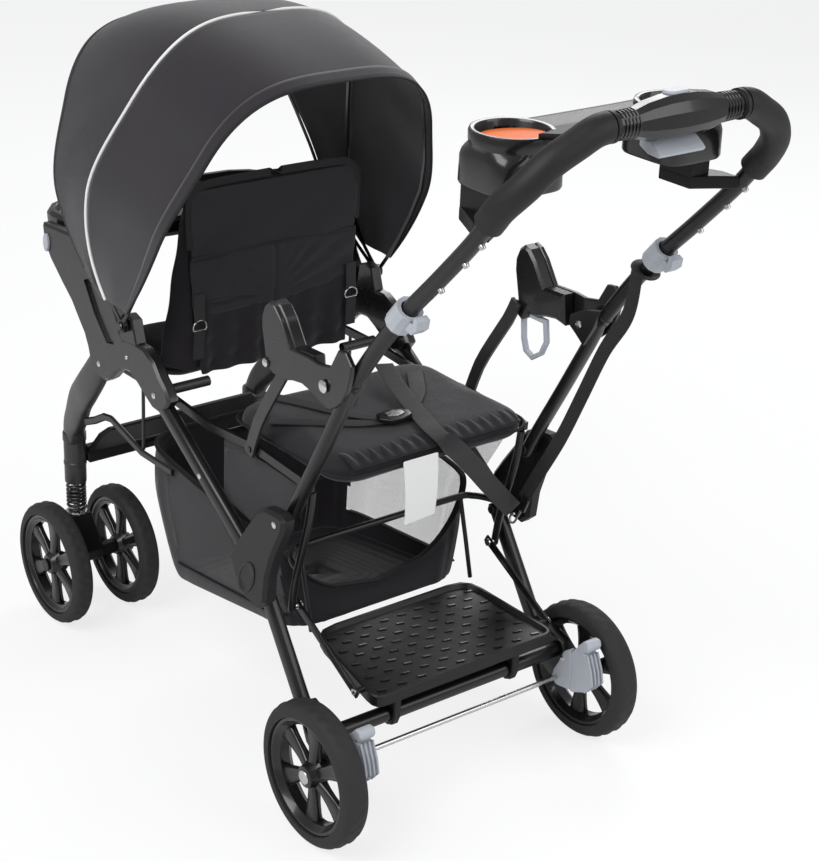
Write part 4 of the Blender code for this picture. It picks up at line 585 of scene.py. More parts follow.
# Casters and struts: a moulded fork turns on a bright stem, which slides in the leg's sleeve against a
# black wire spring of five curls. The curved front legs are charcoal steel.
LEG_LINE = [(0.2100, -0.640, 0.505), (0.2085, -0.668, 0.470), (0.2055, -0.703, 0.432),
            (0.1985, -0.738, 0.398),
            (0.1905, -0.766, 0.361), (0.1840, -0.788, 0.332), (0.1785, -0.800, 0.300)]
LEG_SECTION = [(0.0115, 0.0220), (0.0120, 0.0250), (0.0125, 0.0265), (0.0130, 0.0265), (0.0140, 0.0245),
               (0.0150, 0.0210), (0.0160, 0.0170)]
spring_black = Finish("black spring wire", Base_Color=(0.010, 0.010, 0.010), Coat_Weight=0.2)
spring_black.set(Roughness=spring_black.noise(200.0) * 0.15 + 0.28)
for side_name, side in SIDES:
    softened(f"caster_{side_name}", [f"caster_fork_{side_name}"], black_moulding, f"fork_{side_name}",
             0.0020)
    softened(f"strut_stem_{side_name}", [f"caster_stem_{side_name}"], bright_metal, f"stem_{side_name}",
             0.0006)
    line = smooth_path(np.hstack([np.array(LEG_LINE) + [0, AXLE_Y, 0], LEG_SECTION]), 5)
    points, faces = tube(line[:, :3], line[:, 3], line[:, 4], 28, 2.8)
    leg = shell(f"curved_leg_{side_name}", mirror_x(points, side), faces, charcoal_paint, "chassis")
    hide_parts(f"front_leg_{side_name}")
    turn = np.linspace(0, 2 * np.pi, 40, endpoint=False)
    sleeve = [(0.314, 0.0100), (0.314, 0.0190), (0.312, 0.0197), (0.300, 0.0197), (0.2985, 0.0185),
              (0.262, 0.0183),
              (0.261, 0.0192), (0.256, 0.0192), (0.255, 0.0183), (0.228, 0.0183), (0.2235, 0.0180),
              (0.2232, 0.0062),
              (0.262, 0.0062)]
    rings = [np.column_stack([side * 0.1785 + r * np.cos(turn), -0.5425 + r * np.sin(turn), np.full(40, z)])
             for z, r in sleeve]
    shell(f"strut_sleeve_{side_name}", np.vstack(rings), grid_faces(13, 40), charcoal_paint,
                  "chassis")
    t = np.linspace(0, 1, 221)
    low, high = 0.1702, 0.2228
    rise = t + 0.055 * np.sin(2 * np.pi * t) / np.pi
    coil = np.column_stack([side * 0.1785 + 0.0145 * np.cos(2 * np.pi * 6.6 * t),
                            -0.5425 + 0.0145 * np.sin(2 * np.pi * 6.6 * t),
                            low + 0.0027 + (high - low - 0.0054) * rise])
    spring = shell(f"strut_spring_{side_name}", *tube(coil, 0.0026, 0.0026, 12, across=(0, 0, 1)),
                   spring_black, "chassis")
    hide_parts(f"suspension_spring_{side_name}")
    side * 0.1785
    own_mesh(spring)
softened("foot_bar", ["footrest"], charcoal_moulding, "chassis", 0.0030)

# Brake: a bright rod across the axle with a light grey ribbed pedal at each end, pressed on.
grey_moulding = Finish("light grey moulding", Specular_IOR_Level=0.4)
smoke = grey_moulding.noise(24.0, 2.0)
grey_moulding.set(Base_Color=grey_moulding.colours(smoke, (0.36, 0.38, 0.42), (0.46, 0.48, 0.53)),
                  Roughness=smoke * 0.12 + 0.36)
grey_moulding.relief(grey_moulding.noise(900.0), 0.00012, 0.4)


def slab(name, outline, low, high, finish, body, edge=0.0015, axis=0, moved=True):
    """Outline of (y, z) points made a plate from low to high along x, its edges rounded by a bevel."""
    outline = np.asarray(outline, float) + ([AXLE_Y, 0.0] if moved else [0.0, 0.0])
    n = len(outline)
    rings = [np.insert(outline, axis, level, axis=1) for level in (low, high)]
    made = shell(name, np.vstack(rings), grid_faces(2, n) + [list(range(n)), list(range(n, 2 * n))],
                 finish, body)
    if edge:
        rounding = made.modifiers.new("edge", "BEVEL")
        rounding.width, rounding.segments, rounding.limit_method = edge, 3, "ANGLE"
        rounding.angle_limit = math.radians(28)
        made.modifiers.new("even", "WEIGHTED_NORMAL")
        for polygon in made.data.polygons:
            polygon.use_smooth = True
    return made


PEDAL_ARM = [(-0.009, 0.106), (-0.006, 0.121), (0.004, 0.140), (0.013, 0.162), (0.027, 0.172),
             (0.032, 0.150),
             (0.032, 0.104), (0.014, 0.1005), (0.002, 0.099)]
PEDAL_PAD = [(0.024, 0.103), (0.034, 0.100), (0.060, 0.112), (0.074, 0.130), (0.069, 0.150), (0.060, 0.172),
             (0.050, 0.178), (0.036, 0.178), (0.027, 0.165)]
PEDAL_LIP = [(0.038, 0.181), (0.044, 0.174), (0.062, 0.180), (0.066, 0.188), (0.062, 0.197), (0.052, 0.197)]
rod = np.column_stack([np.linspace(-0.2066, 0.2066, 9), np.full(9, 0.002 + AXLE_Y), np.full(9, 0.112)])
brake_rod = shell("brake_rod", *tube(rod, 0.0040, 0.0040, 20, across=(0, 0, 1), rounding=0.1), bright_metal,
                  "brake_bar")
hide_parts("brake")
for side_name, side in SIDES:
    for name, outline, low, high, edge in (("arm", PEDAL_ARM, 0.1960, 0.2062, 0.0020),
                                           ("pad", PEDAL_PAD, 0.1985, 0.2235, 0.0022),
                                           ("lip", PEDAL_LIP, 0.1975, 0.2250, 0.0035)):
        slab(f"pedal_{name}_{side_name}", outline, *sorted((side * low, side * high)),
                     grey_moulding,
                     "brake_bar", edge)
    for k, x in enumerate((0.2000, 0.2070, 0.2140, 0.2210)):
        rib = [(0.052, 0.172), (0.062, 0.176), (0.073, 0.151), (0.0775, 0.130), (0.062, 0.1115),
               (0.052, 0.116)]
        slab(f"pedal_rib_{side_name}_{k}", rib, side * x - 0.0014, side * x + 0.0014, grey_moulding,
                     "brake_bar", 0.0008)
    rivet(f"brake_rivet_{side_name}", (side * 0.1960, 0.012, 0.150), -side, "brake_bar", 0.0045)

# Standing platform: one black moulding with a raised rim and rows of short anti-slip bars. Flat steel
# bars at its sides steer it level while the frame folds.
softened("standing_deck", ["platform"], black_moulding, "deck", 0.0018)


def deck_height(y):
    """Height of the deck at y from the rear axle: a plane that rises by 87 mm in each metre forwards."""
    return 0.20405 + 0.0867 * (0.023 - y)


bars = []
for row in range(9):
    y = 0.006 - row * 0.0175
    half_width = 0.142 + y * 0.10
    places = np.linspace(-half_width, half_width, 9)
    if row % 2:
        places = places[:-1] + half_width / 8
    for x in places:
        across = np.array([(-0.0062, -0.0012), (0.0062, -0.0034), (0.0066, -0.0010), (-0.0058, 0.0014)])
        foot = [(x + a * 1.12, y + AXLE_Y + b * 1.5, deck_height(y + b * 1.5) - 0.0003) for a, b in across]
        top = [(x + a, y + AXLE_Y + b, deck_height(y + b) + 0.0017) for a, b in across]
        bars.append((np.array(foot + top), grid_faces(2, 4) + [[0, 1, 2, 3], [4, 5, 6, 7]]))
shell("deck_bars_grip", *joined(*bars), black_gloss, "deck", False)
for side_name, side in SIDES:
    softened(f"steering_bar_{side_name}", [f"platform_link_{side_name}"], frame_paint, "deck_bars", 0.0012)
    rivet(f"steering_rivet_{side_name}", (side * 0.1812, -0.010, 0.209), side, "deck_bars", 0.0055)
    rivet(f"steering_pin_{side_name}", (side * 0.1812, -0.150, 0.283), side, "deck_bars", 0.0050)


# Basket: a tub of black woven polyester that sags between its rails. The rear of each side is an
# open mesh, and all edges are bound with black tape. It hangs from thin steel rails and a bent hoop.
def weave(name, low, high, yarn=0.0011, cut=True, folds=0.0016, fold_scale=9.0, sheen=0.25):
    """Plain weave: over-and-under threads as the product of two sines, with soft creases from a slow noise.
    The colour is painted shade and highlight, low in the hollows of the creases and threads and high on their
    ridges.
    """
    made = Finish(name, Sheen_Weight=sheen, Sheen_Roughness=0.4, Specular_IOR_Level=0.25)
    u, v = made.layout() if cut else made.place()[:2]
    turns = 2 * math.pi / yarn
    yarns_and_painted_shade = (u * turns).sine() * (v * turns).sine()
    crease_and_painted_shade = made.noise(fold_scale, 4.0, 0.55)
    # painted shade and highlight: the colour follows the heights of the creases and threads, low in their
    # hollows and high on their ridges
    made.set(Base_Color=made.colours(crease_and_painted_shade * 0.7 + yarns_and_painted_shade * 0.15 + 0.1, low, high),
             Roughness=crease_and_painted_shade * 0.15 + 0.72)
    return made.relief(yarns_and_painted_shade * (0.00012 / folds) + crease_and_painted_shade, folds, 0.8)


def cloth(name, grid, finishes, body, thickness=0.0016, around=False, choice=None, level=1, smooth=True,
          offset=-1.0):
    """Sheet on a grid of points (rows, columns, 3) with a UV map in metres, given a wall on one side."""
    grid = np.asarray(grid, float)
    rows, columns = grid.shape[:2]
    mesh = bpy.data.meshes.new(name)
    faces = grid_faces(rows, columns, around)
    mesh.from_pydata(grid.reshape(-1, 3).tolist(), [], faces)
    along = np.concatenate([[0], np.cumsum(np.linalg.norm(np.diff(grid.mean(1), axis=0), axis=1))])
    ring = grid[rows // 2]
    across = np.concatenate([[0], np.cumsum(np.linalg.norm(np.diff(ring, axis=0), axis=1))])
    full = across[-1] + np.linalg.norm(ring[0] - ring[-1])
    flat = np.stack(np.broadcast_arrays(across[None, :], along[:, None]), -1).reshape(-1, 2)
    layer = mesh.uv_layers.new(name="cut")
    corners = np.empty(len(mesh.loops), int)
    mesh.loops.foreach_get("vertex_index", corners)
    places = flat[corners].reshape(-1, 4, 2)
    if around:
        wrapped = np.abs(places[:, :, 0] - places[:, :1, 0]) > full / 2
        places[:, :, 0] = np.where(wrapped & (places[:, :, 0] < full / 2), places[:, :, 0] + full,
                                   places[:, :, 0])
    layer.data.foreach_set("uv", places.reshape(-1))
    for finish in finishes:
        mesh.materials.append(finish.material)
    if choice is not None:
        mesh.polygons.foreach_set("material_index", np.asarray(choice, int).reshape(-1))
    mesh.polygons.foreach_set("use_smooth", [smooth] * len(mesh.polygons))
    made = bpy.data.objects.new(name, mesh)
    bpy.context.scene.collection.objects.link(made)
    if level:
        fine = made.modifiers.new("fine", "SUBSURF")
        fine.levels = fine.render_levels = level
    wall = made.modifiers.new("wall", "SOLIDIFY")
    wall.thickness, wall.offset = thickness, offset
    if body:
        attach(made, body)
    return made


# low and high colours: the cloth's painted shade tone and painted highlight tone
black_cloth = weave("black woven polyester", (0.0088, 0.0072, 0.0094), (0.0210, 0.0172, 0.0220))
mesh_cloth = Finish("open mesh", Base_Color=(0.10, 0.095, 0.10), Roughness=0.7, Sheen_Weight=0.1)
u, v = mesh_cloth.layout()
cell = 2 * math.pi / 0.0032
holes = ((u * cell).sine() * (v * cell).sine()).size()
mesh_cloth.set(Alpha=1.0 - holes.above(0.10, 0.10) * 0.95)
binding_tape = Finish("binding tape", Base_Color=(0.010, 0.0095, 0.0105), Specular_IOR_Level=0.3)
binding_tape.set(Roughness=binding_tape.noise(500.0) * 0.2 + 0.55)
binding_tape.relief(binding_tape.noise(1600.0), 0.0002, 0.6)

LEVELS = np.array([(-0.530, 0.158, -0.188, 0.214, 0.158), (-0.556, 0.172, -0.186, 0.222, 0.168),
                   (-0.575, 0.290, -0.1905, 0.290, 0.186), (-0.571, 0.352, -0.195, 0.330, 0.191),
                   (-0.553, 0.402, -0.198, 0.362, 0.195)])
levels = np.vstack([[-0.361, 0.1857, -0.357, 0.1863, 0.003], [-0.42, 0.176, -0.30, 0.1957, 0.055],
                    [-0.475, 0.167, -0.24, 0.2055, 0.110], smooth_path(LEVELS, 9)])


def tub(levels, wall, power=7.0, columns=120):
    """Rings of a squared ellipse, one per level, each on the plane through its front and rear heights."""
    turn = 2 * np.pi * np.arange(columns) / columns
    c = np.sign(np.cos(turn)) * np.abs(np.cos(turn)) ** (2 / power)
    s = np.sign(np.sin(turn)) * np.abs(np.sin(turn)) ** (2 / power)
    fy, fz, ry, rz, hx = levels.T[:, :, None]
    x = (hx - wall) * c
    y = (fy + ry) / 2 + ((ry - fy) / 2 - wall) * s
    z = fz + (rz - fz) * (y - fy) / (ry - fy)
    behind = np.clip((y - ry + 0.03) / 0.03, 0, 1)
    z = 0.222 + (z - 0.222) * (1 - 0.80 * behind * (1 - np.abs(x / hx) ** 2.4) * (z > 0.225))
    rise = np.linspace(0, 1, len(levels))[:, None]
    sag = 0.0035 * np.sin(np.pi * rise) * (1 + np.sin(9 * turn + 4 * rise) * 0.5 + np.sin(23 * turn) * 0.25)
    return np.stack([x - sag * np.cos(turn), y - sag * np.sin(turn) + AXLE_Y, z], -1)


basket_grid = tub(levels, 0.0006)
middle = (basket_grid[:-1] + basket_grid[1:])[:, :, :] / 2
FLOOR_TAPE = 14
side_rear = ((np.abs(middle[:, :, 0]) > 0.150) & (middle[:, :, 1] > -0.240) & (middle[:, :, 1] < 0.045)
             & (np.arange(len(middle))[:, None] >= FLOOR_TAPE))
basket = cloth("basket_tub", basket_grid, [black_cloth, mesh_cloth], "chassis", 0.0012, True, side_rear, 0)
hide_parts("basket")
rim = basket_grid[-1]
rim = np.vstack([rim, rim[:1]]) + [0, 0, -0.0025]
shell("basket_rim_tape", *tube(rim * [0.996, 1, 1], 0.0016, 0.0052, 10, 4.0, across=(0, 0, 1),
                                       rounding=0.1)[0:2],
              binding_tape, "chassis")
for side_name, side in SIDES:
    low = basket_grid[FLOOR_TAPE]
    low = low[(low[:, 0] * side > 0.15) & (low[:, 1] > -0.24) & (low[:, 1] < 0.05)]
    low = low[np.argsort(low[:, 1])]
    shell(f"basket_floor_tape_{side_name}", *tube(low - [side * 0.0006, 0, 0], 0.0010, 0.0040, 8,
                                                          4.0,
                                                         across=(0, 0, 1)), binding_tape, "chassis")
    # mesh gusset between the basket's rim, the seat rail and the hoop
    share = np.linspace(0, 1, 15)[:, None]
    lower = np.column_stack([np.full(24, side * 0.1870), np.linspace(-0.075, 0.058, 24),
                             np.linspace(0.385, 0.364, 24)])
    upper = np.column_stack([np.full(24, side * 0.1860), np.linspace(-0.075, 0.128, 24),
                             np.linspace(0.482, 0.476, 24)])
    gusset = cloth(f"basket_gusset_{side_name}",
                   lower[None] * (1 - share[..., None]) + upper[None] * share[..., None],
                   [mesh_cloth], "chassis", 0.0008)
for name, slot in (("basket_frame", "frame_paint"), ("seat_frame", "frame_paint")):
    softened(f"steel_{name}", [name], frame_paint, "chassis", 0.0010)
HOOP = [(-0.106, 0.4840), (-0.112, 0.440), (-0.122, 0.400), (-0.134, 0.360), (-0.144, 0.320),
        (-0.151, 0.2760)]
CROSS = [(0.1900, -0.137, 0.350), (0.1840, -0.160, 0.351), (0.1680, -0.181, 0.352),
         (0.1400, -0.1914, 0.352),
         (0.0, -0.1914, 0.352)]
cross = smooth_path(CROSS + [(-x, y, z) for x, y, z in reversed(CROSS[:-1])], 6) + [0, AXLE_Y, 0]
parts = [tube(cross, 0.0052, 0.0052, 16, across=(0, 0, 1))]
for side_name, side in SIDES:
    hoop_side = tube(smooth_path(yz(0.1900, HOOP), 4), 0.0058, 0.0058, 18)
    post_line = np.array([(0.150, -0.1904, 0.352), (0.150, -0.172, 0.285), (0.150, -0.157, 0.2265)])
    post = tube(post_line + [0, AXLE_Y, 0], 0.0034, 0.0034, 14)
    parts += [(mirror_x(hoop_side[0], side), hoop_side[1]), (mirror_x(post[0], side), post[1])]
    turn = np.linspace(0, 2 * np.pi, 20, endpoint=False)
    stub = [(0.1890, 0.0039), (0.1765, 0.0039), (0.1762, 0.0062), (0.1742, 0.0058), (0.1738, 0.0004)]
    rings = [np.column_stack([np.full(20, side * x), -0.150 + AXLE_Y + r * np.cos(turn),
                              0.283 + r * np.sin(turn)])
             for x, r in stub]
    shell(f"bar_pin_{side_name}", np.vstack(rings), grid_faces(5, 20), bright_metal, "chassis")
hoop = shell("basket_hoop_tube", *joined(*parts), frame_paint, "chassis")
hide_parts("basket_hoop")

# Seats: two padded cushions of the same cloth with a corded edge, their covers blown up by the cloth
# solver. The front one lies under the canopy, and the rear one has a quilted hem along its rear edge.
# low and high colours: the cloth's painted shade tone and painted highlight tone
pad_cloth = weave("padded seat cloth", (0.011, 0.0095, 0.012), (0.028, 0.0245, 0.030), cut=False,
                  folds=0.0022,
                  fold_scale=14.0)


def rounded_rows(shares, outline, levels, axis):
    """Rings of an outline drawn towards its middle by a share, one per level along an axis."""
    outline = np.asarray(outline, float)
    middle = (outline.max(0) + outline.min(0)) / 2
    reach = (outline.max(0) - outline.min(0)) / 2
    rings = []
    for share, level in zip(shares, levels):
        moved = middle + (outline - middle) * (1 - share / reach)
        rings.append(np.insert(moved, axis, level, axis=1))
    count = len(outline)
    lids = [list(range(count)), list(range(count * (len(rings) - 1), count * len(rings)))]
    return np.vstack(rings), grid_faces(len(rings), count) + lids


def stuffed(name, solid, finish, body, nodes, voxel=0.0060, pressure=4.0, cap=0.005):
    """Cushion cover blown up by Blender's cloth solver, no point moving further than cap, then smoothed."""
    points, faces = solid
    start = shell(name, points, faces, finish, None)
    remesh = start.modifiers.new("voxels", "REMESH")
    remesh.mode, remesh.voxel_size, remesh.use_smooth_shade = "VOXEL", voxel, True
    graph = bpy.context.evaluated_depsgraph_get()
    fine = bpy.data.meshes.new_from_object(start.evaluated_get(graph))
    start.modifiers.clear()
    start.data = fine
    rest = np.empty(len(fine.vertices) * 3)
    fine.vertices.foreach_get("co", rest)
    rest = rest.reshape(-1, 3)
    puff = start.modifiers.new("puff", "CLOTH")
    puff.settings.use_pressure = True
    puff.settings.uniform_pressure_force = pressure
    puff.settings.effector_weights.gravity = 0.0
    puff.settings.quality = 4
    puff.point_cache.frame_start, puff.point_cache.frame_end = 1, 20
    for step in range(1, 21):
        bpy.context.scene.frame_set(step)
    graph = bpy.context.evaluated_depsgraph_get()
    blown = start.evaluated_get(graph).to_mesh()
    moved = np.empty(len(blown.vertices) * 3)
    blown.vertices.foreach_get("co", moved)
    start.evaluated_get(graph).to_mesh_clear()
    start.modifiers.remove(puff)
    bpy.context.scene.frame_set(1)
    step = moved.reshape(-1, 3) - rest
    length = np.linalg.norm(step, axis=1)[:, None]
    step = step * np.minimum(1.0, cap / np.maximum(length, 1e-9))
    fine.vertices.foreach_set("co", (rest + step).astype(np.float32).ravel())
    fine.update()
    fine.materials.clear()
    fine.materials.append(finish.material)
    soft = start.modifiers.new("soft", "SUBSURF")
    soft.levels = soft.render_levels = 1
    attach(start, body)
    if nodes:
        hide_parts(*nodes)
    return start


def rounded_outline(half_x, low_y, high_y, corner, count=9):
    """Rectangle with round corners as (x, y) points in order."""
    turn = np.linspace(0, np.pi / 2, count)
    points = []
    for k, (sx, cy) in enumerate(((1, high_y - corner), (-1, high_y - corner), (-1, low_y + corner),
                                  (1, low_y + corner))):
        around = turn + k * np.pi / 2
        points.append(np.column_stack([sx * (half_x - corner) + corner * np.cos(around),
                                       cy + corner * np.sin(around)]))
    return np.vstack(points)


def corded(name, outline, level, axis, body, radius=0.0024):
    """Welt cord sewn round a cushion: a thin tube on the closed outline."""
    outline = np.asarray(outline, float)
    line = np.insert(np.vstack([outline, outline[:2]]), axis, level, axis=1)
    return shell(name, *tube(line, radius, radius, 10,
                                     across=[(1, 0, 0), (0, 1, 0), (0, 0, 1)][axis]),
                         binding_tape, body)


PAD_SHARES = [0.030, 0.012, 0.005, 0.0022, 0.0022, 0.005, 0.014, 0.034]
PAD_LEVELS = [0.4955, 0.4965, 0.5000, 0.5060, 0.5140, 0.5220, 0.5270, 0.5285]
rear_outline = rounded_outline(0.1790, -0.0835, 0.1965, 0.042)
front_outline = rounded_outline(0.1700, -0.4370, -0.2645, 0.028)
stuffed("rear_cushion", rounded_rows(PAD_SHARES, rear_outline, PAD_LEVELS, 2), pad_cloth, "chassis",
        ["rear_seat_pad"])
stuffed("front_cushion", rounded_rows(PAD_SHARES, front_outline, PAD_LEVELS, 2), pad_cloth, "chassis",
        ["front_seat_pad"])
corded("rear_cushion_cord", rounded_outline(0.1775, -0.0820, 0.1950, 0.041), 0.5115, 2, "chassis")
corded("front_cushion_cord", rounded_outline(0.1685, -0.4355, -0.2660, 0.027), 0.5115, 2, "chassis")
# quilted hem along the rear cushion's open edge: short stitched ribs that fade into the pad
share = np.linspace(0, 1, 13)[:, None]
run = np.linspace(-0.150, 0.150, 181)[None, :]
hem_y = 0.1500 + 0.0420 * share + 0 * run
hem_z = (0.5325 + 0.0018 * np.sin(run / 0.300 * 2 * np.pi * 15) * (1 - np.abs(2 * share - 1) ** 3)
         - 0.0105 * share ** 3 - 0.0022 * (1 - share) ** 4)
cloth("rear_cushion_hem", np.stack([run + 0 * share, hem_y, hem_z], -1), [pad_cloth], "chassis",
              0.0012, level=0)

# Backrest of the front seat, seen from behind: a padded board with a bound and rounded top panel, a pocket
# with a middle seam and creases that fan out from it, and gathered cloth hanging over the recline straps.
BACK_PIVOT = (-0.470, 0.508)
half = 0.160
right_edge = [(half - 0.022, 0.516), (half - 0.016, 0.560), (half - 0.010, 0.620), (half - 0.004, 0.700),
              (half, 0.770), (half - 0.003, 0.798), (half - 0.014, 0.811), (half - 0.034, 0.818),
              (0.05, 0.820)]
back_outline = smooth_path([(x, 0.0, z) for x, z in right_edge + [(-x, z) for x,
                                                                  z in reversed(right_edge)]], 5)
back_outline = back_outline[:, [0, 2]]
BACK_Y = -0.478 + AXLE_Y
stuffed("backrest_pad", rounded_rows([0.020, 0.008, 0.003, 0.003, 0.010, 0.026],
                                     back_outline, BACK_Y - np.array([0.0045, 0.006, 0.010, 0.018, 0.0235,
                                                                      0.0255]), 1),
        pad_cloth, "seat_back", ["backrest"], cap=0.0035)
# low and high colours: the cloth's painted shade tone and painted highlight tone
panel_cloth = weave("panel cloth", (0.013, 0.0115, 0.0145), (0.034, 0.030, 0.037), folds=0.0012,
                    fold_scale=11.0)


def back_sheet(name, low, high, depth, finish, thickness=0.0012, rows=40, columns=90, edge=0.004):
    """Panel on the rear face of the backrest between two heights; depth(x, z) stands off the pad."""
    z = np.linspace(low, high, rows)[:, None] + np.zeros((1, columns))
    width = np.interp(z[:, 0], [p[1] for p in right_edge[:-1]], [p[0] for p in right_edge[:-1]])[:,
                                                                                                 None] - edge
    x = width * np.linspace(-1, 1, columns)[None, :]
    return cloth(name, np.stack([x, BACK_Y - 0.0035 + depth(x, z), z], -1), [finish], "seat_back",
                 thickness, level=1)


def pocket_depth(x, z):
    seam = np.exp(-(x / 0.0035) ** 2) * 0.0022
    fan = np.sin(np.arctan2(z - 0.616, np.abs(x) + 0.02) * 26 + x * 14) * 0.0012
    fan = fan * np.clip((np.abs(x) - 0.008) / 0.04, 0, 1) * np.clip((0.702 - z) / 0.02, 0, 1)
    return 0.0030 + fan - seam + 0.0022 * np.cos(x / 0.155 * np.pi / 2)


def gather_depth(x, z):
    drop = np.clip((0.634 - z) / 0.10, 0, 1)
    pleats = np.sin(x * 165 + 1.1 * np.sin(x * 41) + 5 * (z - 0.55)) + 0.5 * np.sin(x * 73 + 9 * z)
    return 0.0045 + drop * (0.0030 * pleats + 0.0018 * np.sin(z * 180 + x * 30))


top_depth = lambda x, z: 0.0034 + 0.0010 * np.sin(x * 38 + z * 60) * np.clip((0.80 - z) / 0.06, 0, 1)
for made in (back_sheet("backrest_top_panel", 0.7005, 0.806, top_depth, panel_cloth, edge=0.008),
             back_sheet("backrest_pocket", 0.612, 0.7025, pocket_depth, panel_cloth, 0.0014)):
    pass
gathered = back_sheet("backrest_gathers", 0.5185, 0.630, gather_depth, black_cloth, 0.0012, 48, 150)
top = back_outline[(back_outline[:, 1] > 0.700)]
top = top + (np.array([0.0, 0.757]) - top) / [0.158, 0.062] * [0.0065, 0.0040]
band = np.column_stack([top[:, 0], np.full(len(top), BACK_Y - 0.0004), top[:, 1]])
shell("backrest_top_binding", *tube(band, 0.0065, 0.0016, 12, 4.0, across=(1, 0, 0), rounding=0.1),
              binding_tape, "seat_back")
seam = np.column_stack([np.linspace(-0.151, 0.151, 60), np.full(60, BACK_Y + 0.0012), np.full(60, 0.7018)])
shell("backrest_cross_binding", *tube(seam, 0.0042, 0.0012, 10, 4.0, across=(0, 0, 1)),
              binding_tape,
              "seat_back")
for side_name, side in SIDES:
    # side wing that widens downwards to the rail and turns forward
    z = np.linspace(0.522, 0.780, 26)[:, None]
    out = np.linspace(0, 1, 16)[None, :]
    edge = np.interp(z, [p[1] for p in right_edge[:5]], [p[0] for p in right_edge[:5]]) - 0.006
    reach = np.clip((0.785 - z) / 0.263, 0, 1) ** 0.8
    wing_x = edge + out * (0.1725 - edge) * reach
    wing_y = BACK_Y - 0.008 - 0.050 * out ** 2 * reach + 0.0020 * np.sin(z * 70 + 2 * out) * out
    wing = cloth(f"backrest_wing_{side_name}", np.stack([side * wing_x, wing_y, z + 0 * out], -1),
                 [black_cloth],
                 "seat_back", 0.0014)
webbing = Finish("black webbing", Specular_IOR_Level=0.3, Sheen_Weight=0.15)
ribs = (webbing.place()[0] * 2400.0).sine() * (webbing.place()[2] * 1700.0).sine()
webbing.set(Base_Color=webbing.colours(ribs * 0.4 + 0.5, (0.009, 0.0085, 0.0095), (0.024, 0.0225, 0.025)),
            Roughness=webbing.noise(60.0) * 0.15 + 0.6)
webbing.relief(ribs, 0.0002, 0.6)


def strap(name, path, wide, body, across=(1, 0, 0), thick=0.0007, finish=webbing):
    """Flat webbing along a smooth path, wide along one direction."""
    made = shell(name, *tube(smooth_path(path, 8), wide / 2, thick, 12, 6.0, across=across, rounding=0.0),
                 finish, body)
    return made


for side_name, side in SIDES:
    turn = np.linspace(0, 2 * np.pi, 40, endpoint=False)
    d_ring = np.column_stack([side * 0.140 + 0.0115 * np.cos(turn), np.full(40, BACK_Y + 0.0082),
                              0.597 + np.maximum(0.011 * np.sin(turn), -0.0045)])
    ring_points, ring_faces = tube(np.vstack([d_ring, d_ring[:2]]), 0.0013, 0.0013, 10, across=(0, 1, 0))
    shell(f"recline_ring_{side_name}", ring_points, ring_faces, bright_metal, "seat_back")
    strap(f"recline_strap_{side_name}", [(side * 0.140, BACK_Y + 0.0066, 0.648),
                                         (side * 0.140, BACK_Y + 0.0072, 0.626),
                                         (side * 0.140, BACK_Y + 0.0088, 0.606)], 0.019, "seat_back")
    strap(f"recline_loop_{side_name}", [(side * 0.140, BACK_Y + 0.0088, 0.594),
                                        (side * 0.141, BACK_Y + 0.0070, 0.572),
                                        (side * 0.1415, BACK_Y + 0.0062, 0.545)], 0.019, "seat_back")
    turn = np.linspace(0, 2 * np.pi, 24, endpoint=False)
    rings = [np.column_stack([np.full(24, side * x), BACK_PIVOT[0] + AXLE_Y + r * np.cos(turn),
                              BACK_PIVOT[1] + r * np.sin(turn)])
             for x, r in ((0.1250, 0.0070), (0.1255, 0.0079), (0.1890, 0.0079), (0.1896, 0.0070))]
    shell(f"recline_pin_{side_name}", np.vstack(rings), grid_faces(4, 24), charcoal_paint, "seat_back")

# Harness and straps: webbing across the rear seat with its side-release buckle, a blank care tag that
# hangs from the cushion, and a wide strap from the seat to the right leg.
strap("seat_strap_left", [(0.128, -0.072, 0.536), (0.098, -0.012, 0.5375), (0.062, 0.062, 0.5375),
                          (0.034, 0.104, 0.540)], 0.024, "chassis")
strap("seat_strap_right", [(-0.120, -0.020, 0.536), (-0.070, 0.050, 0.5375), (-0.022, 0.092, 0.538),
                           (0.002, 0.108, 0.541)], 0.024, "chassis")
strap("waist_strap_left", [(0.165, 0.010, 0.532), (0.120, 0.058, 0.5365), (0.070, 0.096, 0.5372),
                           (0.036, 0.114, 0.5405)], 0.022, "chassis", across=(0.5, 0.8, 0))
slab("buckle_body", [(0.044, 0.100), (0.050, 0.116), (0.040, 0.128), (0.018, 0.132), (-0.002, 0.126),
                     (-0.006, 0.112), (0.004, 0.100), (0.024, 0.096)],
     0.5380, 0.5470, black_gloss, "chassis", 0.0020, axis=2, moved=False)
slab("buckle_tongue", [(0.034, 0.106), (0.036, 0.118), (0.024, 0.124), (0.008, 0.120), (0.006, 0.110),
                       (0.018, 0.104)],
     0.5468, 0.5486, bright_metal, "chassis", 0.0006, axis=2, moved=False)
paper = Finish("white care tag", Specular_IOR_Level=0.3)
u, v = paper.layout()
paper.set(Base_Color=(0.80, 0.80, 0.79), Roughness=paper.noise(90.0) * 0.15 + 0.6)
share = np.linspace(0, 1, 24)[:, None]
run = np.linspace(-1, 1, 16)[None, :]
tag_x = 0.040 + 0.031 * run * (1 - 0.06 * share) - 0.002 * share
tag_y = 0.2005 + 0.0035 * np.sin(share * 3.0) + 0.0025 * run * share
tag = cloth("care_tag", np.stack([tag_x, tag_y + 0 * run, 0.517 - 0.098 * share + 0 * run], -1), [paper],
            "chassis",
            0.0005)
strap("leg_strap", [(-0.060, -0.020, 0.560), (-0.040, 0.0415, 0.550), (-0.017, 0.1245, 0.5400),
                    (-0.002, 0.1780, 0.5375), (-0.012, 0.1990, 0.5240), (-0.060, 0.1850, 0.480),
                    (-0.130, 0.160, 0.410), (-0.194, 0.140, 0.347)], 0.030, "chassis")

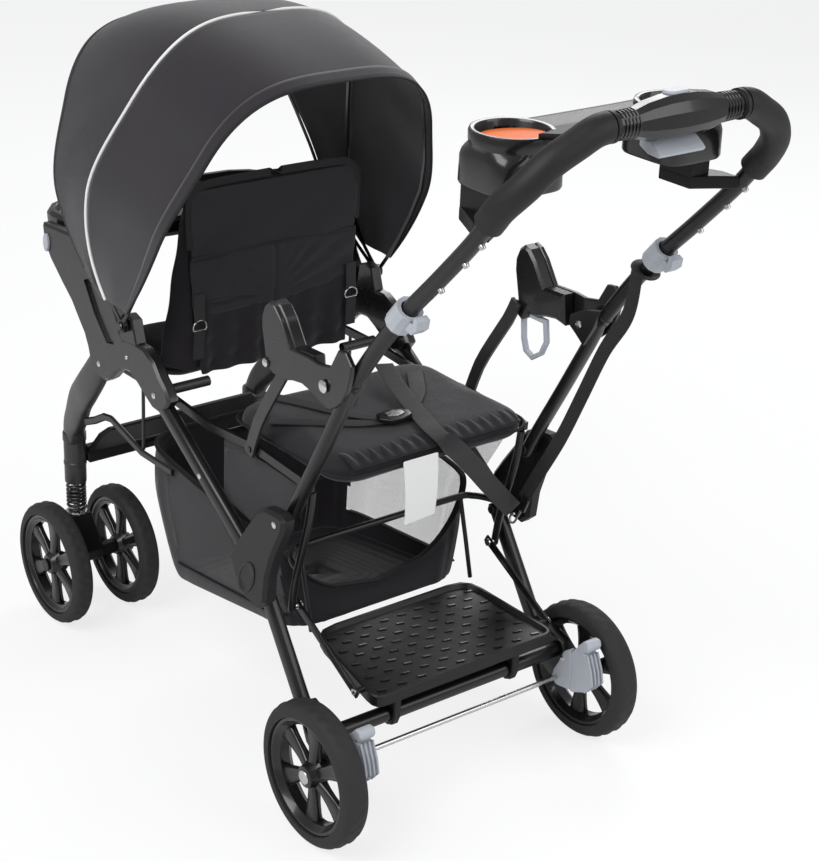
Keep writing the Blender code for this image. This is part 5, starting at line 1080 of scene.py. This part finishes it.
# Front frame mouldings: arched side housings in satin black with a long recess and bright rivets, the
# black child tray between their arms, and its two light grey release buttons.
for side_name, side in SIDES:
    softened(f"arched_housing_{side_name}", [f"side_housing_{side_name}"], black_gloss, "chassis", 0.0034)
    for k, (y, z) in enumerate(((-0.615, 0.509), (-0.453, 0.513), (-0.530, 0.548))):
        rivet(f"housing_rivet_{side_name}_{k}", (side * 0.2320, y, z), side, "chassis",
              0.0050 if k < 2 else 0.0034)
    softened(f"release_button_{side_name}", [f"tray_button_{side_name}"], grey_moulding,
             f"tray_release_{side_name}", 0.0014)
softened("snack_tray", ["child_tray"], black_gloss, "tray", 0.0030)

# Canopy: thin steel bows with black woven cloth stretched over them in two panels, sewn along the middle
# bow under a white piping. The rear edge has a wide stitched hem and the front edge a paler binding.
for bow in ("front", "middle", "rear"):
    softened(f"steel_bow_{bow}", [f"canopy_bow_{bow}"], frame_paint, f"bow_{bow}", 0.0006)
# low and high colours: the cloth's painted shade tone and painted highlight tone
canopy_cloth = weave("canopy cloth", (0.0125, 0.0108, 0.0135), (0.0370, 0.0320, 0.0385), folds=0.0016,
                     fold_scale=5.0, sheen=0.35)
PIVOT = np.array([-0.530 + AXLE_Y, 0.600])
REAR, MIDDLE, FRONT = 62.0, 88.0, 122.5
REAR_BULGE, MIDDLE_BULGE, FRONT_BULGE = 0.018, -0.096, -0.080
BOW_HEIGHT, FRONT_BOW_HEIGHT = 0.443, 0.470
ARCH_POWER, ARCH_DRAW = 3.4, 0.020
LOWEST = math.asin(0.07 ** (ARCH_POWER / 2))
ARCH = LOWEST + (math.pi - 2 * LOWEST) * (1 - np.cos(np.pi * np.linspace(0, 1, 121))) / 2
CLOTH_X, CLOTH_LIFT = 0.2336 + 0.0011 + 2 * 0.0027 + 0.0011 + 0.0014, 0.0011 + 0.0014


def canopy_rows(low, high, count, lift, dip=0.0, ripple=0.0):
    """Rows of the canopy between two angles about the pivot, each a squared ellipse that narrows and bellies.

    dip is how far the cloth falls in between its bows, and ripple the height of its small folds."""
    rows = []
    for share in np.linspace(0, 1, count):
        angle = low + (high - low) * share
        if angle < MIDDLE:
            k = (angle - REAR) / (MIDDLE - REAR)
            bulge, height = REAR_BULGE + (MIDDLE_BULGE - REAR_BULGE) * k, BOW_HEIGHT
        else:
            k = (angle - MIDDLE) / (FRONT - MIDDLE)
            bulge = MIDDLE_BULGE + (FRONT_BULGE - MIDDLE_BULGE) * k
            height = BOW_HEIGHT + (FRONT_BOW_HEIGHT - BOW_HEIGHT) * k
        c, s = np.cos(ARCH), np.sin(ARCH)
        t = np.abs(s) ** (2 / ARCH_POWER)
        drawn = np.clip((t - 0.40) / 0.34, 0, 1)
        reach_x = CLOTH_X + lift - ARCH_DRAW * drawn * drawn * (3 - 2 * drawn)
        fall = dip * math.sin(math.pi * share) ** 0.8 * np.clip(t * 1.4, 0, 1)
        fall = fall + ripple * math.sin(math.pi * share) * np.sin(ARCH * 17 + 6 * share) * (1 - t)
        reach = (height + CLOTH_LIFT + lift - fall) * t
        belly = bulge * t * (1 - t) ** 1.8 / 0.161
        lean = math.radians(angle)
        x = (reach_x - fall * 0.6) * np.sign(c) * np.abs(c) ** (2 / ARCH_POWER)
        rows.append(np.column_stack([x, PIVOT[0] + reach * math.cos(lean) + belly,
                                     PIVOT[1] + reach * math.sin(lean)]))
    return np.array(rows)


def fanned(made):
    """Panel between two bows' angles, finished: its subdivision dropped, its other modifiers applied to its
    mesh and its transform baked in.
    """
    for modifier in list(made.modifiers):
        if modifier.type == "SUBSURF":
            made.modifiers.remove(modifier)
    graph = bpy.context.evaluated_depsgraph_get()
    made.data = bpy.data.meshes.new_from_object(made.evaluated_get(graph))
    made.modifiers.clear()
    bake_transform(made)
    return made


front_panel = cloth("canopy_front_panel", canopy_rows(MIDDLE, FRONT + 1.5, 26, 0.0003 + 0.0016, 0.004,
                                                      0.0015),
                    [canopy_cloth], None, 0.0012, level=0, offset=-1.0)
rear_panel = cloth("canopy_rear_panel", canopy_rows(REAR - 1.5, MIDDLE, 26, 0.0003 + 0.0016, 0.005, 0.0020),
                   [canopy_cloth], None, 0.0012, level=0, offset=-1.0)
fanned(front_panel)
fanned(rear_panel)
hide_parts("canopy_fabric")
piping = Finish("white piping", Specular_IOR_Level=0.3)
piping.set(Base_Color=(0.78, 0.77, 0.76), Roughness=piping.noise(200.0) * 0.15 + 0.5)
line = canopy_rows(MIDDLE, MIDDLE, 1, 0.0030)[0]
shell("canopy_piping", *tube(line, 0.0024, 0.0024, 12), piping, "bow_middle")
pale_tape = Finish("front binding", Base_Color=(0.030, 0.027, 0.031), Specular_IOR_Level=0.3)
pale_tape.set(Roughness=pale_tape.noise(400.0) * 0.2 + 0.5)
for name, low, high, body, finish in (("canopy_front_binding", FRONT + 0.2, FRONT + 1.7, "bow_front",
                                       pale_tape),
                                      ("canopy_rear_hem", REAR - 1.6, REAR + 1.4, "bow_rear", canopy_cloth),
                                      ("canopy_rear_binding", REAR - 1.8, REAR - 1.3, "bow_rear",
                                       binding_tape)):
    # the front binding ends above the pivots, where the folded panels bunch up
    trim = slice(8, -8) if body == "bow_front" else slice(None)
    cloth(name, canopy_rows(low, high, 5, 0.0026)[:, trim], [finish], body, 0.0022, level=0)

# Armrests: glossy black pads with a fin, a latch plate past the upright and shiny bolts. Curved satin
# links carry their front ends, and a light grey pull hangs under the right one.
for side_name, side in SIDES:
    softened(f"armrest_pad_{side_name}", [f"armrest_{side_name}"], black_gloss, "armrests", 0.0045, 24.0)
    softened(f"curved_link_{side_name}", [f"arm_link_{side_name}"], charcoal_paint, "links", 0.0016)
    rivet(f"armrest_bolt_{side_name}", (side * 0.2398, -0.018, 0.682), side, "armrests", 0.0070, 0.0026)
    rivet(f"armrest_front_bolt_{side_name}", (side * 0.2396, -0.151, 0.670), side, "armrests", 0.0058,
          0.0022)
softened("fold_pull", ["fold_trigger"], grey_moulding, "loop", 0.0018)

# Handle: light grey collars, foam grips that bend inwards, and the fold console between them with its
# button, pull and ribbed necks.
foam = Finish("foam grip", Specular_IOR_Level=0.35)
bubbles = foam.noise(1500.0, 2.0, 0.6)
foam.set(Base_Color=foam.colours(bubbles, (0.0065, 0.0062, 0.0064), (0.0150, 0.0142, 0.0146)),
         Roughness=bubbles * 0.2 + 0.44)
foam.relief(bubbles, 0.0003, 0.6)
GRIP = [(0.2175, 0.2624, 0.9745), (0.2175, 0.2688, 0.9822), (0.2165, 0.283, 0.9995), (0.203, 0.305, 1.027),
        (0.180, 0.318, 1.054), (0.148, 0.325, 1.073), (0.128, 0.328, 1.0835), (0.113, 0.329, 1.087),
        (0.1000, 0.329, 1.087)]
grip_line = smooth_path(np.array(GRIP) + [0, AXLE_Y, 0], 7)
for side_name, side in SIDES:
    softened(f"grey_collar_{side_name}", [f"collar_{side_name}"], grey_moulding, "handle", 0.0018, 24.0)
    points, faces = tube(grip_line, 0.0189, 0.0189, 40, rounding=0.25)
    grip = shell(f"foam_grip_{side_name}", mirror_x(points, side), faces, foam, "handle")
    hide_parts(f"grip_{side_name}")
softened("fold_console", ["handle_console"], black_gloss, "handle", 0.0040, 20.0)
softened("fold_button", ["console_button"], grey_moulding, "button_top", 0.0016)
softened("fold_squeeze", ["console_trigger"], grey_moulding, "trigger_bottom", 0.0020)
for side_name, side in SIDES:
    for k in range(5):
        turn = np.linspace(0, 2 * np.pi, 33)[:-1]
        x = side * (0.0930 - 0.0052 * k)
        ring = np.column_stack([np.full(32, x), 0.329 + AXLE_Y + (0.0163 + 0.0002 * k) * np.cos(turn),
                                1.087 + (0.0163 + 0.0002 * k) * np.sin(turn)])
        shell(f"neck_rib_{side_name}_{k}", *tube(np.vstack([ring, ring[:2]]), 0.0012, 0.0012, 8,
                                                       across=(1, 0, 0), rounding=0.1), black_gloss,
                                                       "handle")

# Parent tray: two cup holders that go from a round rim to a square box, a sloped plate between them and
# arms to the uprights. A plain orange disc lies in the left cup.
TURN = 2 * np.pi * (np.arange(96) + 0.5) / 96
CUP_X, CUP_Y, CUP_TOP = 0.133, 0.199 + AXLE_Y, 1.060
CUP = [(0.990, 0.0470, 4.6), (0.9905, 0.0490, 4.6), (0.994, 0.0508, 4.6), (1.026, 0.0510, 4.2),
       (1.032, 0.0508, 3.6),
       (1.037, 0.0500, 2.9), (1.041, 0.0500, 2.2), (1.0435, 0.0515, 2.0), (1.046, 0.0522, 2.0),
       (1.056, 0.0524, 2.0),
       (1.0592, 0.0512, 2.0), (1.060, 0.0490, 2.0), (1.0592, 0.0455, 2.0), (1.0565, 0.0436, 2.0),
       (0.9990, 0.0430, 2.0), (0.9965, 0.0415, 2.0)]
cups = []
for side_name, side in SIDES:
    rings = []
    for z, half, power in CUP:
        c, s = np.cos(TURN), np.sin(TURN)
        rings.append(np.column_stack([side * CUP_X + half * np.sign(c) * np.abs(c) ** (2 / power),
                                      CUP_Y + half * np.sign(s) * np.abs(s) ** (2 / power),
                                      np.full(96, z)]))
    last = 96 * (len(CUP) - 1)
    cups.append((np.vstack(rings), grid_faces(len(CUP), 96) + [list(range(96)),
                                                               list(range(last, last + 96))]))
holder = shell("cup_holders", *joined(*cups), black_gloss, "handle")
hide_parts("parent_tray")
plate_rows = []
for beyond in np.linspace(-0.046, 0.084, 24):
    z = CUP_TOP - 0.0062 + 0.21 * max(0.0, beyond)
    reach = CUP_X - (math.sqrt(0.0440 ** 2 - beyond ** 2) if abs(beyond) < 0.044 else 0.0)
    plate_rows.append([(x, CUP_Y + beyond, z - 0.0015 * (1 - (x / reach) ** 4))
                       for x in np.linspace(-reach, reach, 28)])
middle_plate = cloth("tray_plate", np.array(plate_rows), [black_moulding], "handle", 0.0070, level=0)
for side_name, side in SIDES:
    riser = [(0.018, -0.036), (0.046, -0.036), (0.046, 0.026), (0.018, 0.020)]
    arm = [(0.018, -0.036), (0.046, -0.036), (0.0740, 0.023), (0.0740, 0.053), (0.048, 0.036),
           (0.018, 0.020)]
    for name, outline, low, high in (("riser", riser, 0.958, 0.993), ("arm", arm, 0.946, 0.963)):
        slab(f"tray_{name}_{side_name}", [(side * (CUP_X + x), CUP_Y + y) for x, y in outline],
                     low, high,
                     black_moulding, "handle", 0.0022, axis=2, moved=False)
disc_finish = Finish("orange card", Specular_IOR_Level=0.3)
disc_finish.set(Base_Color=(0.80, 0.16, 0.03), Roughness=disc_finish.noise(120.0) * 0.15 + 0.5)
rings = []
for z, radius in ((1.0495, 0.0395), (1.0502, 0.0410), (1.0510, 0.0414), (1.0518, 0.0410), (1.0522, 0.0395)):
    rings.append(np.column_stack([CUP_X + radius * np.cos(TURN), CUP_Y + radius * np.sin(TURN),
                                  z + 0.10 * radius * np.sin(TURN)]))
shell("cup_card", np.vstack(rings), grid_faces(5, 96) + [list(range(96)), list(range(384, 480))],
      disc_finish, "handle")

# Tether: a long black webbing from a loop on the right upright down to its slider and a small wire hook.
TETHER = np.array([(-0.2035, 0.0905, 0.7880), (-0.2042, 0.0790, 0.7222), (-0.2040, 0.0402, 0.6577),
                   (-0.2035, 0.0034, 0.5763), (-0.2025, -0.0278, 0.5068), (-0.2010, -0.0516, 0.4608),
                   (-0.1990, -0.0782, 0.4129), (-0.1975, -0.0993, 0.3712)]) + [0, AXLE_Y, 0]
tether_line = smooth_path(TETHER, 8)
tether = shell("tether_webbing", *tube(tether_line, 0.0007, 0.0115, 12, 6.0, across=(1, 0, 0),
                                       rounding=0.0), webbing,
               None)
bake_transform(tether)
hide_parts("tether_strap")
centre = np.array([-0.2175, 0.0920 + AXLE_Y, 0.7890])
turn = np.linspace(0, 2 * np.pi, 41)
axis = np.array([0.0, 0.650, 0.760])
other = np.cross(axis, [1.0, 0.0, 0.0])
loop = centre + 0.0122 * np.outer(np.cos(turn), [1.0, 0, 0]) + 0.0122 * np.outer(np.sin(turn), other)
shell("tether_loop", *tube(loop, 0.0009, 0.0100, 10, 6.0, across=(0, 0.1, 1), rounding=0.0),
              webbing, "handle")
slider = [(-0.108, 0.354), (-0.096, 0.349), (-0.086, 0.374), (-0.098, 0.380)]
slab("tether_slider", slider, -0.2000, -0.1945, black_gloss, "chassis", 0.0012)
hook = np.array([(-0.1975, -0.1020, 0.3520), (-0.1975, -0.1090, 0.3400), (-0.1970, -0.1160, 0.3260),
                 (-0.1965, -0.1240, 0.3230), (-0.1965, -0.1250, 0.3330),
                 (-0.1970, -0.1170, 0.3400)]) + [0, AXLE_Y, 0]
shell("tether_hook", *tube(smooth_path(hook, 6), 0.0019, 0.0019, 12), bright_metal, "chassis")
